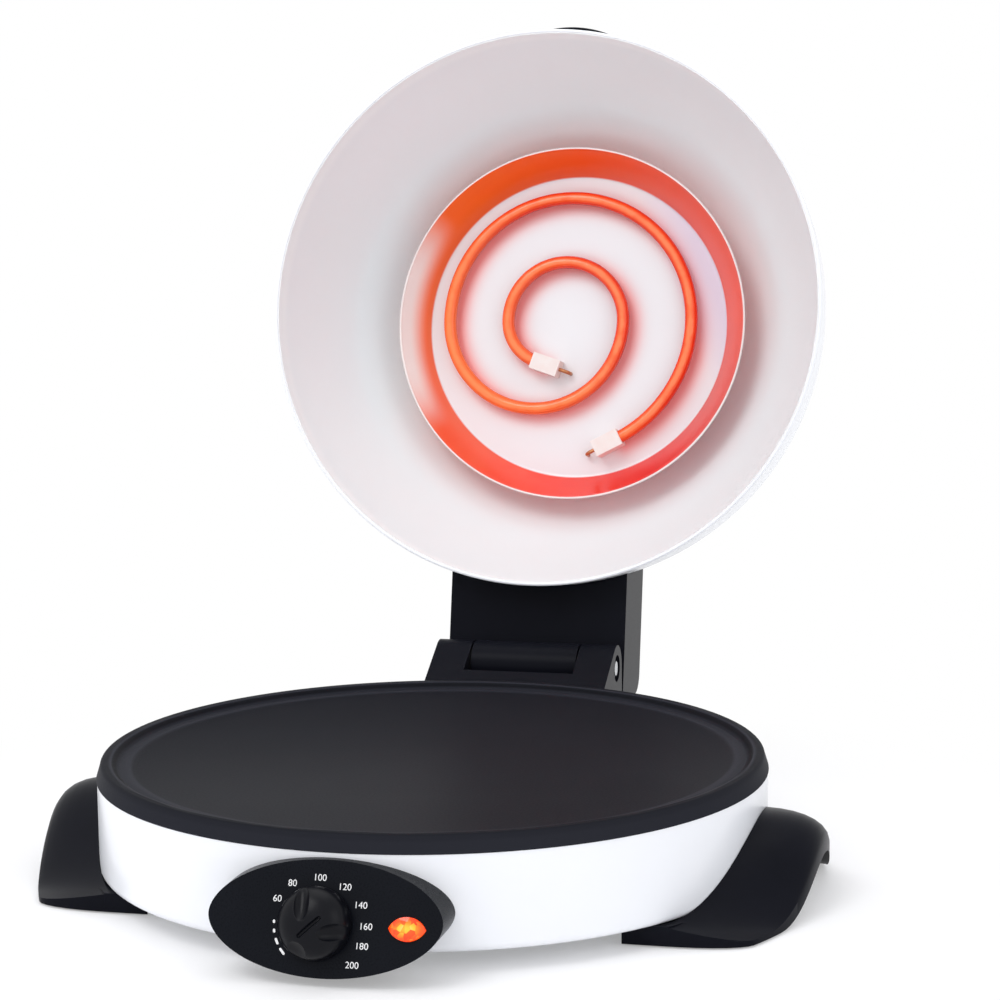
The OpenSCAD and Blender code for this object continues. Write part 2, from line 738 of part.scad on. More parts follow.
module foot_pad_places() {
  r = wall_r + ear_out / 2;
  for (side = [0, 1]) mirror([side, 0, 0]) for (y = foot_y) translate([sqrt(r * r - y * y), y, 0]) children();
}

head_sink = 4;

module handle() {
  difference() {
    union() {
      ear_arch();
      foot_blocks();
    }
    ear_tunnel();
    right_foot_screws() {
      translate([0, 0, -foot_h - cut]) cylinder(d = screw_d + 2 * fit, h = far / 10, $fn = fine_fn);
      translate([0, 0, -foot_h - cut]) cylinder(d = head_d + 1, h = head_sink + cut, $fn = fine_fn);
    }
    foot_pad_places() translate([0, 0, sole_z - cut]) cylinder(d = pad_d + 2 * fit, h = pad_recess + cut);
  }
}

module right_handle() {
  color("#16171d") handle();
}

module left_handle() {
  color("#16171d") mirror([1, 0, 0]) handle();
}

module handle_screws() {
  color("silver") foot_screw_places() translate([0, 0, -foot_h + head_sink])
    screw(screw_d, foot_h - head_sink + base_t + nut_t, head_d);
}

module handle_nuts() {
  color("silver") foot_screw_places() translate([0, 0, base_t]) hex_nut(foot_nut_w, nut_t - 1, screw_d);
}

module foot_pads() {
  color("#26262b") foot_pad_places() translate([0, 0, floor_z]) cylinder(d = pad_d, h = pad_recess + pad_proud);
}

// Hinge tower

heel_h = 16;
rear_pad_d = pad_d + 2;
tower_screw_x = 34;
tower_screw_z = [-14, -38];
head_pocket = 3;
tower_bore = 16;

module tower_screw_places() {
  for (x = [-tower_screw_x, tower_screw_x], z = tower_screw_z)
    translate([x, seat_y(x), rim_low_z + z]) rotate([-90, 0, 0]) children();
}

module rear_pad_places() {
  for (x = [-1, 1]) translate([x * (tower_w / 2 - rear_pad_d), hinge_y + tower_heel - rear_pad_d, 0]) children();
}

// Side outline of the tower, in the plane through the hinge: y to the right, z up
module tower_side() {
  heel = hinge_y + tower_heel;
  low = sole_z;
  back = hinge_y + knuckle_r;
  polygon(concat(
    [[wall_r - 10, low], [heel, low], [heel, low + heel_h * 0.4], [back, low + heel_h + 4]],
    arc([hinge_y, hinge_z], knuckle_r, 0, 125, 12),
    [[wall_r - 10, rim_low_z - 3]]
  ));
}

module hinge_tower() {
  cradle = norm([knuckle_r, arm_low]) + 1.5;
  color("#16171d") difference() {
    translate([-tower_w / 2, 0, 0]) rotate([90, 0, 90]) linear_extrude(height = tower_w) tower_side();
    // Room for the knuckle between the two cheeks, and for its swing
    translate([-cheek_in, hinge_y, hinge_z]) rotate([0, 90, 0]) cylinder(r = cradle, h = 2 * cheek_in);
    // Seat on the round wall, and room for the plate's rim above it
    cylinder(r = wall_r, h = far, center = true);
    translate([0, 0, rim_low_z - fit]) cylinder(r = plate_d / 2 + cut, h = far);
    // Pin bore, with a pocket for the pin's head at one end and for its clip at the other
    translate([0, hinge_y, hinge_z]) rotate([0, 90, 0]) cylinder(d = pin_d, h = tower_w + cut, center = true);
    for (side = [-1, 1]) translate([side * (tower_w / 2), hinge_y, hinge_z]) rotate([0, 90, 0])
      cylinder(d = pin_d + 7, h = 2 * head_pocket, center = true);
    tower_screw_places() cylinder(d = screw_d, h = tower_bore, $fn = fine_fn);
    rear_pad_places() translate([0, 0, sole_z - cut]) cylinder(d = rear_pad_d + 2 * fit, h = pad_recess + cut);
  }
}

module tower_screws() {
  color("silver") tower_screw_places() screw(screw_d, tower_bore - 2 * cut, head_d);
}

module rear_pads() {
  color("#26262b") rear_pad_places() translate([0, 0, floor_z]) cylinder(d = rear_pad_d, h = pad_recess + pad_proud);
}

module hinge_pin() {
  color("silver") translate([-tower_w / 2 + head_pocket, hinge_y, hinge_z]) rotate([0, 90, 0]) {
    cylinder(d = pin_d, h = tower_w - head_pocket - 0.5);
    translate([0, 0, -2]) cylinder(d = pin_d + 4, h = 2);
  }
}

module pin_clip() {
  color("silver") translate([tower_w / 2 - head_pocket + fit, hinge_y, hinge_z]) rotate([0, 90, 0]) difference() {
    cylinder(d = pin_d + 5, h = 1.2);
    translate([0, 0, -cut]) cylinder(d = pin_d, h = 4);
  }
}

bush_wall = 2;
bush_flange = 0.8;

module hinge_bushes() {
  color("#e9e4d6") open_lid() translate([0, hinge_y, 0]) rotate([0, 90, 0]) for (side = [0, 1]) mirror([0, 0, side])
    difference() {
      union() {
        translate([0, 0, knuckle_w / 2 - 14]) cylinder(d = pin_d + 2 * bush_wall, h = 14);
        translate([0, 0, knuckle_w / 2]) cylinder(d = pin_d + 4 * bush_wall, h = bush_flange);
      }
      cylinder(r = pin_d / 2 + pin_play, h = far);
    }
}

// Lid pieces, drawn closed with the rim at z = 0 and set open by open_lid

module shell_solid(grow = 0) {
  rotate_extrude() polygon(concat([[0, 0], [shell_r + grow, 0]],
    [for (p = dome(shell_r, lid_h, shell_low)) [p[0] + grow, p[1] + grow]], [[0, lid_h + grow]]));
}

module lid_arm() {
  color("#16171d") open_lid() difference() {
    union() {
      // Box from the dome back over the pin
      translate([-tower_w / 2, hinge_y, 0]) rotate([90, 0, 90]) linear_extrude(height = tower_w)
        polygon(concat([[-arm_front, arm_low], [arm_tail, arm_low]],
          arc([arm_tail - 12, arm_high - 12], 12, 0, 90, 6), [[-arm_front, arm_high]]));
      // Knuckle down to the pin
      translate([-knuckle_w / 2, hinge_y, 0]) rotate([90, 0, 90]) linear_extrude(height = knuckle_w)
        union() {
          circle(r = knuckle_r);
          translate([-knuckle_r, 0]) square([2 * knuckle_r, arm_low + cut]);
        }
    }
    shell_solid(fit);
    translate([-far / 2, hinge_y, 0]) rotate([0, 90, 0]) cylinder(d = pin_d + 2 * bush_wall, h = far);
    lid_arm_screw_places() cylinder(d = screw_d, h = arm_bore, $fn = fine_fn);
  }
}

arm_front = 78;
arm_bore = 14;
lid_head_t = 1.6;
arm_screw_x = 32;
arm_screw_h = [30, 50];

// Screws go straight back from inside the shell
module lid_arm_screw_places() {
  for (x = [-arm_screw_x, arm_screw_x], h = arm_screw_h)
    translate([x, shell_seat(x, h), h]) rotate([-90, 0, 0]) children();
}

module lid_arm_screws() {
  color("silver") open_lid() lid_arm_screw_places() screw(screw_d, arm_bore - cut, head_d, lid_head_t);
}

module lid_shell() {
  outer = dome(shell_r, lid_h, shell_low);
  inner = dome(shell_r - lid_t, lid_h - lid_t, shell_low);
  color("white") open_lid() difference() {
    union() {
      rotate_extrude() polygon(concat(outer, reverse(inner)));
      rotate_extrude() translate([lid_r - bead_d / 2, bead_d / 2]) circle(d = bead_d, $fn = fine_fn);
    }
    lid_arm_screw_places() cylinder(d = screw_d + 2 * fit, h = arm_bore, $fn = fine_fn);
    lid_grip_screw_places() cylinder(d = screw_d + 2 * fit, h = arm_bore, $fn = fine_fn);
  }
}

// Inside line of the bowl, as distance in from its edge and depth, for a bowl 101 deep: steep wall, soft shoulder
bowl_line = [[4, 24], [11, 48], [20, 68], [31, 84], [44, 95]];
bowl_share = liner_h / 101;
liner_floor_r = pan_floor_d / 2 + 6;

module lid_liner() {
  line = concat([[liner_r, bead_d + 1]], [for (p = bowl_line) [liner_r - p[0] * bowl_share, p[1] * bowl_share]],
    [[liner_floor_r, liner_h - 1.5], [liner_floor_r - 8, liner_h]]);
  color("#e4e4e8") open_lid() difference() {
    rotate_extrude() polygon(concat([[0, liner_h]], reverse(line),
      [for (p = line) [p[0] + (p[1] < liner_h - 2 ? liner_t : 0), p[1] + (p[1] > liner_h * 0.6 ? liner_t : 0)]],
      [[0, liner_h + liner_t]]));
    pan_stud_places() cylinder(d = small_screw_d + 2 * fit, h = far, $fn = fine_fn);
    heater_hole_places() cylinder(d = 7, h = far);
  }
}

pan_back = liner_h - pan_gap;
pan_floor = pan_back - pan_t;

module reflector_pan() {
  edge_z = pan_floor - pan_h;
  color("#f3f3f5") open_lid() difference() {
    rotate_extrude() polygon([[0, pan_floor], [pan_floor_d / 2, pan_floor], [pan_d / 2, edge_z + 1], [pan_d / 2 + 1.5, edge_z],
      [pan_d / 2 + 2.6, edge_z + 1], [pan_d / 2 + 1, edge_z + 2], [pan_floor_d / 2 + 0.8, pan_back], [0, pan_back]]);
    heater_hole_places() translate([0, 0, pan_floor - cut]) cylinder(d = 5.4, h = pan_t + 2 * cut);
  }
}

pan_stud_angles = [100, 220, 340];
pan_stud_r = 66;

module pan_stud_places() {
  at_angles(pan_stud_angles, pan_stud_r) children();
}

module pan_studs() {
  color("silver") open_lid() pan_stud_places() {
    translate([0, 0, pan_back]) cylinder(d = small_screw_d, h = pan_gap + liner_t + 5, $fn = fine_fn);
    translate([0, 0, pan_back]) cylinder(d = 8, h = pan_gap, $fn = fine_fn);
  }
}

module pan_nuts() {
  color("silver") open_lid() pan_stud_places() translate([0, 0, liner_h + liner_t]) hex_nut(6, 2.4, small_screw_d);
}

// Spiral of arcs that meet in line on the X axis; each arc is [radius, start angle, turn, centre x]
spiral_x0 = -9;
spiral_y = -3;
spiral_z = pan_floor - spiral_gap - spiral_d / 2;
arc_r = [spiral_r, spiral_r - spiral_step[0], spiral_r - spiral_step[0] - spiral_step[1],
  spiral_r - spiral_step[0] - spiral_step[1] - spiral_step[2],
  spiral_r - spiral_step[0] - spiral_step[1] - spiral_step[2] - spiral_step[3]];
arc_x = [spiral_x0, spiral_x0 + spiral_step[0], spiral_x0 + spiral_step[0] - spiral_step[1],
  spiral_x0 + spiral_step[0] - spiral_step[1] + spiral_step[2],
  spiral_x0 + spiral_step[0] - spiral_step[1] + spiral_step[2] - spiral_step[3]];
arc_from = [0, 180, 0, 180, 180];
arc_turn = [spiral_ends[0], 180, 180, 180, spiral_ends[1]];

// The last arc turns back from its start
module spiral_arc(i) {
  translate([arc_x[i], spiral_y, spiral_z]) rotate([0, 0, arc_from[i]]) mirror([0, i == 4 ? 1 : 0, 0])
    rotate_extrude(angle = arc_turn[i]) translate([arc_r[i], 0]) circle(d = spiral_d, $fn = fine_fn);
}

module upper_heater() {
  color("#ff5a2a") open_lid() for (i = [0:4]) spiral_arc(i);
}

// Places on the spiral's two ends: local +X runs on out of the tube
module heater_end(i) {
  a = i == 0 ? spiral_ends[0] : 180 - spiral_ends[1];
  translate([arc_x[i], spiral_y, spiral_z]) rotate([0, 0, a]) translate([arc_r[i], 0, 0])
    rotate([0, 0, i == 0 ? 90 : -90]) children();
}

// How far a ceramic block laps over the tube's end
ceramic_lap = 2;

module ceramic_ends() {
  color("#f4f1ea") open_lid() for (i = [0, 4]) heater_end(i) difference() {
    translate([-ceramic_lap, -ceramic_w / 2, -ceramic_w / 2])
      cube([ceramic_len, ceramic_w, pan_floor - spiral_z + ceramic_w / 2]);
    translate([-ceramic_lap - cut, 0, 0]) rotate([0, 90, 0]) cylinder(d = spiral_d + 2 * fit, h = ceramic_lap + cut);
    translate([lead_x - lead_out, 0, 0]) rotate([0, 90, 0]) cylinder(d = lead_d + fit, h = far / 10, $fn = fine_fn);
  }
}

lead_d = 2.2;
lead_bend = 3;
lead_out = 11;
lead_x = ceramic_len + 4;
lead_over = 5;

module heater_hole_places() {
  for (i = [0, 4]) heater_end(i) translate([lead_x, 0, -spiral_z]) children();
}

module heater_leads() {
  color("#c96a35") open_lid() for (i = [0, 4]) heater_end(i) {
    // Straight out of the block, round a bend, and up through the pan and the bowl
    translate([lead_x - lead_out, 0, 0]) rotate([0, 90, 0])
      cylinder(d = lead_d, h = lead_out - lead_bend, $fn = fine_fn);
    translate([lead_x - lead_bend, 0, lead_bend]) rotate([90, 0, 0]) rotate([0, 0, -90])
      rotate_extrude(angle = 90) translate([lead_bend, 0]) circle(d = lead_d, $fn = fine_fn);
    translate([lead_x, 0, lead_bend]) cylinder(d = lead_d, h = liner_h + liner_t + lead_over - spiral_z - lead_bend, $fn = fine_fn);
  }
}

// Crescent handle on the lid's front, hollow below for the fingers
module grip_outline(inset = 0) {
  translate([0, -grip_reach + grip_curve]) circle(r = grip_curve - inset);
}

grip_wall = 4;
grip_pocket = 50;

module lid_handle() {
  color("#16171d") open_lid() difference() {
    translate([0, 0, grip_low]) linear_extrude(height = grip_h) difference() {
      grip_outline();
      translate([0, far / 2 - lid_r * 0.85]) square(far, center = true);
    }
    // Finger pocket, open below
    translate([0, 0, grip_low - cut]) linear_extrude(height = grip_h - grip_wall + cut) intersection() {
      grip_outline(grip_wall);
      translate([0, -far / 2 - shell_r - 1]) square([grip_pocket, far], center = true);
    }
    shell_solid(fit);
    lid_grip_screw_places() cylinder(d = screw_d, h = grip_bore, $fn = fine_fn);
  }
}

grip_screw_x = 32;
grip_bore = 8;

module lid_grip_screw_places() {
  h = grip_low + grip_h - 6;
  for (x = [-grip_screw_x, grip_screw_x]) translate([x, -shell_seat(x, h), h]) rotate([90, 0, 0]) children();
}

module lid_handle_screws() {
  color("silver") open_lid() lid_grip_screw_places() screw(screw_d, grip_bore - cut / 2, head_d, lid_head_t);
}

base_shell();
bottom_cover();
bottom_cover_screws();
cooking_plate();
plate_studs();
stud_spacers();
stud_nuts();
lower_heater();
heater_clamps();
heater_clamp_screws();
heat_shield();
control_panel();
panel_screws();
thermostat();
thermostat_screws();
thermostat_shaft();
control_knob();
lamp_lens();
neon_lamp();
terminal_block();
cord_gland();
left_handle();
right_handle();
handle_screws();
handle_nuts();
foot_pads();
hinge_tower();
tower_screws();
rear_pads();
hinge_pin();
pin_clip();
hinge_bushes();
lid_arm();
lid_arm_screws();
lid_shell();
lid_liner();
reflector_pan();
pan_studs();
pan_nuts();
upper_heater();
ceramic_ends();
heater_leads();
lid_handle();
lid_handle_screws();
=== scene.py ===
"""Electric roti maker: finishes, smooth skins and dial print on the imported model, camera and studio."""
import json
import math

import bmesh
import bpy
import numpy as np
from mathutils import Matrix, Vector


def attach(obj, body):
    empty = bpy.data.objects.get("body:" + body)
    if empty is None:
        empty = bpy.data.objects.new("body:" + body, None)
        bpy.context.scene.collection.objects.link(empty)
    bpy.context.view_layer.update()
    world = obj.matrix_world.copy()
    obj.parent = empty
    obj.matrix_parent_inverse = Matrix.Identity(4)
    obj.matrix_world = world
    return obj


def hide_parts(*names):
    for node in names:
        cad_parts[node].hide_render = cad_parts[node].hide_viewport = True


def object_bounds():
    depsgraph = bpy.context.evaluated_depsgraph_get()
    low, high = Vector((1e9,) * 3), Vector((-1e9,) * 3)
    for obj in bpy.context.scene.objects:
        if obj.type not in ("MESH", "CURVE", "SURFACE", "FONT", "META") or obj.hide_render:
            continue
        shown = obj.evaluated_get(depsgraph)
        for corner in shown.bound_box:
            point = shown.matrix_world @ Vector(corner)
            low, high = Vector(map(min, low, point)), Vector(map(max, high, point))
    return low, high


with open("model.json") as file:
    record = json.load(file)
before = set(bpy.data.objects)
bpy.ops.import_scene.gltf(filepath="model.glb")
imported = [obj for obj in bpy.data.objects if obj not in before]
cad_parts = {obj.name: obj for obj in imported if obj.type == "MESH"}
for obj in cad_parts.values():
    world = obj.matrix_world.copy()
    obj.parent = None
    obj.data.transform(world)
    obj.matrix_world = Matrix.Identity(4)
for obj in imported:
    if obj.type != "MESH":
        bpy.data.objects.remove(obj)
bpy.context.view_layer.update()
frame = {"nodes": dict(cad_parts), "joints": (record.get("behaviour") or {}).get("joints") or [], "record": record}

MM = 0.001

# Camera, from the fit of the plate and lid ellipses: place in metres, angles in radians, lens in mm
EYE = (0.3665, -1.3295, 0.3321)
HEADING = 0.244
PITCH = 0.147
ROLL = -0.012
LENS = 103.07

# The joints give the hinge, the lid's opening, and the knob's centre on the panel's leaning face
JOINT = {row["name"]: row for row in frame["joints"]}
HINGE = Vector(JOINT["lid_hinge"]["pos_m"])
LID_OPEN = math.radians(JOINT["lid_hinge"]["range_deg"][1])
KNOB = Vector(JOINT["knob_turn"]["pos_m"])
FACE_LEAN = math.asin(-JOINT["knob_turn"]["axis"][2])
# Middle of the lamp's lens, to the right of the knob's
LAMP_RIGHT = 41 * MM

# From the closed lid's frame (axis Z, rim at height 0) to the model's frame
LID_PLACE = (Matrix.Translation(HINGE) @ Matrix.Rotation(-LID_OPEN, 4, "X")
             @ Matrix.Translation((0, -HINGE.y, 0)))
# The way back, as a Mapping node's settings
TO_LID = {"Location": LID_PLACE.inverted().to_translation(), "Rotation": (LID_OPEN, 0.0, 0.0)}
# From the panel's face (Z out of it, the knob's centre at 0) to the model's frame
FACE_PLACE = Matrix.Translation(KNOB) @ Matrix.Rotation(math.pi / 2 - FACE_LEAN, 4, "X")

# Directions over the open lid seen from the front, where the closed lid's X is right and its Y is down
UPPER_LEFT = (-0.86, -0.5, 0.0)
UPPER_RIGHT = (0.92, -0.4, 0.0)
LOWER_LEFT = (-0.8, 0.6, 0.0)

# Plate's rings of painted highlight and shade, from inside its ledge to its rim, in mm
RINGS_IN = 140
RINGS_OUT = 166

# Lid skins, in mm in the closed lid's frame
BOWL_FLOOR_R = 94.0
BOWL_RIM_R = 156.3
BOWL_RIM_Z = 0.9
BOWL_TOP_Z = 101.0
BOWL_THICK = 0.6
BOWL_POWER = 2 / 1.6
DOME_R = 157.8
DOME_TOP = 116.0
DOME_LOW = 1.2
DOME_POWER = 2 / 3
DOME_THICK = 0.8
# Points on the curved line of the bowl and of the dome
LINE_STEPS = 72
# Rolled rim: radius of the roll, and of the circle that its middle lies on
BEAD_R = 0.9
BEAD_AT = 157.6
PAN_FLOOR_R = 90.0
PAN_FLOOR_Z = 96.2
PAN_LIP_R = 103.0
PAN_LIP_Z = 74.2
PAN_ROLL = 0.7
PAN_THICK = 0.8
# Bend between the pan's floor and its wall, from where the two would meet
PAN_BEND = ((-1.2, 0.0), (-0.5, -0.1), (0.1, -0.4), (0.5, -0.9))

# Heater spiral in the same frame: each arc's radius, centre x, first angle and turn, in mm and degrees
SPIRAL_Y = -3.0
SPIRAL = ((79, -9, 0, 62), (73.5, -3.5, 180, 180), (53, -24, 0, 180), (35, -6, 180, 180), (26, -15, 180, -72))
# Painted pink glow and reflection of the tube on the pan: its shift to the right and down from the tube, its reach
# in mm and its strength
PAINTED_GLOW_SHIFT = (3.6, 2.4)
PAINTED_GLOW_REACH = 6.5
PAINTED_GLOW_SHARE = 0.85

# Knob, in mm from its centre on the panel's face
KNOB_R = 16.25
KNOB_HIGH = 14.5
KNOB_SKIRT = 0.2 * KNOB_HIGH
KNOB_FOOT = 0.35
KNOB_GAP = 0.8
KNOB_POWER = 2.2
# Scoops: angle of the centre, its radius, long axis angle, half length, half width, depth
SCOOPS = ((114, 8.4, 95, 7.6, 3.6, 3.0), (-20, 11.4, 16, 6.4, 3.6, 3.4), (248, 13.4, 248, 3.6, 4.6, 2.0))
SCOOP_POWER = 0.8
# Groove: its middle, the angle of its length, its length, width and depth
GROOVE_AT = (1.0, -2.2)
GROOVE_TURN = 43
GROOVE_LONG = 13.4
GROOVE_WIDE = 1.9
GROOVE_DEEP = 1.3

# Fine rounded edges: angle in degrees from which an edge is rounded, and faces across it
EDGE_FROM = 34
EDGE_FACES = 3

# Soft boxes: name, place, target, side in metres and watts
LAMPS = (("key_lamp", (-0.6, -1.0, 1.5), (0.0, 0.1, 0.12), 0.9, 11),
         ("fill_lamp", (1.6, -0.9, 0.9), (0.0, 0.05, 0.1), 1.0, 3),
         ("top_lamp", (0.0, 0.3, 2.0), (0.0, 0.0, 0.0), 1.4, 6))
# Floor: half its side, and the radii between which its shading melts into white, in metres
FLOOR_HALF = 8.0
FLOOR_SHADED = 0.15
FLOOR_WHITE = 0.4


def linear(colour):
    """sRGB hex to linear red, green, blue and alpha, by the sRGB curve."""
    part = np.array([int(colour[i:i + 2], 16) / 255 for i in (0, 2, 4)])
    curve = np.where(part <= 0.04045, part / 12.92, ((part + 0.055) / 1.055) ** 2.4)
    return (*curve.tolist(), 1.0)


def add(tree, kind, inputs=None, **settings):
    """Adds a node. A setting is one of its own properties; an input is a value, or (node, output) to link."""
    made = tree.nodes.new(kind)
    for name, value in settings.items():
        setattr(made, name, value)
    for name, value in (inputs or {}).items():
        if isinstance(value, tuple) and isinstance(value[0], bpy.types.Node):
            tree.links.new(value[0].outputs[value[1]], made.inputs[name])
        else:
            made.inputs[name].default_value = value
    return made


def new_material(name):
    """An empty material, its tree, and its Object coordinates, which are metres in the model's frame."""
    material = bpy.data.materials.new(name)
    material.use_nodes = True
    tree = material.node_tree
    tree.nodes.clear()
    return material, tree, (tree.nodes.new("ShaderNodeTexCoord"), "Object")


def set_stops(ramp, stops):
    """Sets a colour ramp's stops from pairs of place and sRGB hex."""
    row = ramp.color_ramp.elements
    while len(row) < len(stops):
        row.new(0.5)
    for element, (at, colour) in zip(row, stops):
        element.position = at
        element.color = linear(colour)


def powder_coat(name, colour, shade, rough):
    """Powder-coated steel: gloss paint with the faint orange peel, about 2.5 mm across, of baked powder."""
    material, tree, where = new_material(name)
    peel = add(tree, "ShaderNodeTexNoise", {"Vector": where, "Scale": 1 / (2.5 * MM), "Detail": 2.0})
    cloud = add(tree, "ShaderNodeTexNoise", {"Vector": where, "Scale": 1 / (60 * MM), "Detail": 2.0})
    hue = add(tree, "ShaderNodeMix", {
        "Factor": (cloud, "Fac"), "A": linear(colour), "B": linear(shade)}, data_type="RGBA")
    dull = add(tree, "ShaderNodeMapRange", {"Value": (cloud, "Fac"), "To Min": rough, "To Max": rough + 0.06})
    bump = add(tree, "ShaderNodeBump", {"Height": (peel, "Fac"), "Strength": 1.0, "Distance": 0.006 * MM})
    coat = add(tree, "ShaderNodeBsdfPrincipled", {
        "Base Color": (hue, "Result"), "Roughness": (dull, "Result"), "Normal": (bump, "Normal"), "IOR": 1.5})
    add(tree, "ShaderNodeOutputMaterial", {"Surface": (coat, "BSDF")})
    return material


def bowl_enamel(name):
    """Satin enamel on the drawn steel bowl: even and smooth, with a painted pink reflection of the heater's glow
    at the upper left and a painted highlight at its rim.
    """
    material, tree, where = new_material(name)
    lid = add(tree, "ShaderNodeMapping", {"Vector": where, **TO_LID}, vector_type="POINT")
    # Painted pink reflection of the heater's glow, growing towards the upper left
    side = add(tree, "ShaderNodeVectorMath", {0: (lid, "Vector"), 1: UPPER_LEFT}, operation="DOT_PRODUCT")
    warm = add(tree, "ShaderNodeMapRange", {
        "Value": (side, "Value"), "From Min": 0.06, "From Max": 0.15, "To Min": 0.0, "To Max": 0.5})
    cloud = add(tree, "ShaderNodeTexNoise", {"Vector": where, "Scale": 1 / (70 * MM), "Detail": 2.0})
    painted_glow_reflection = add(tree, "ShaderNodeMath", {0: (warm, "Result"), 1: (cloud, "Fac")}, operation="MULTIPLY")
    glow_reflection_tinted = add(tree, "ShaderNodeMix", {
        "Factor": (painted_glow_reflection, "Value"), "A": linear("f1f5f6"), "B": linear("f6f2f7")}, data_type="RGBA")
    # Painted highlight: the enamel is drawn paler towards the rim
    part = add(tree, "ShaderNodeSeparateXYZ", {"Vector": (lid, "Vector")})
    rim = add(tree, "ShaderNodeMapRange", {
        "Value": (part, "Z"), "From Min": 15 * MM, "From Max": 8 * MM, "To Min": 0.0, "To Max": 0.7},
        interpolation_type="SMOOTHSTEP")
    hue = add(tree, "ShaderNodeMix", {
        "Factor": (rim, "Result"), "A": (glow_reflection_tinted, "Result"), "B": linear("fafbfb")}, data_type="RGBA")
    peel = add(tree, "ShaderNodeTexNoise", {"Vector": where, "Scale": 1 / (3 * MM), "Detail": 2.0})
    bump = add(tree, "ShaderNodeBump", {"Height": (peel, "Fac"), "Strength": 1.0, "Distance": 0.003 * MM})
    coat = add(tree, "ShaderNodeBsdfPrincipled", {
        "Base Color": (hue, "Result"), "Roughness": 0.34, "Normal": (bump, "Normal"), "IOR": 1.5})
    add(tree, "ShaderNodeOutputMaterial", {"Surface": (coat, "BSDF")})
    return material


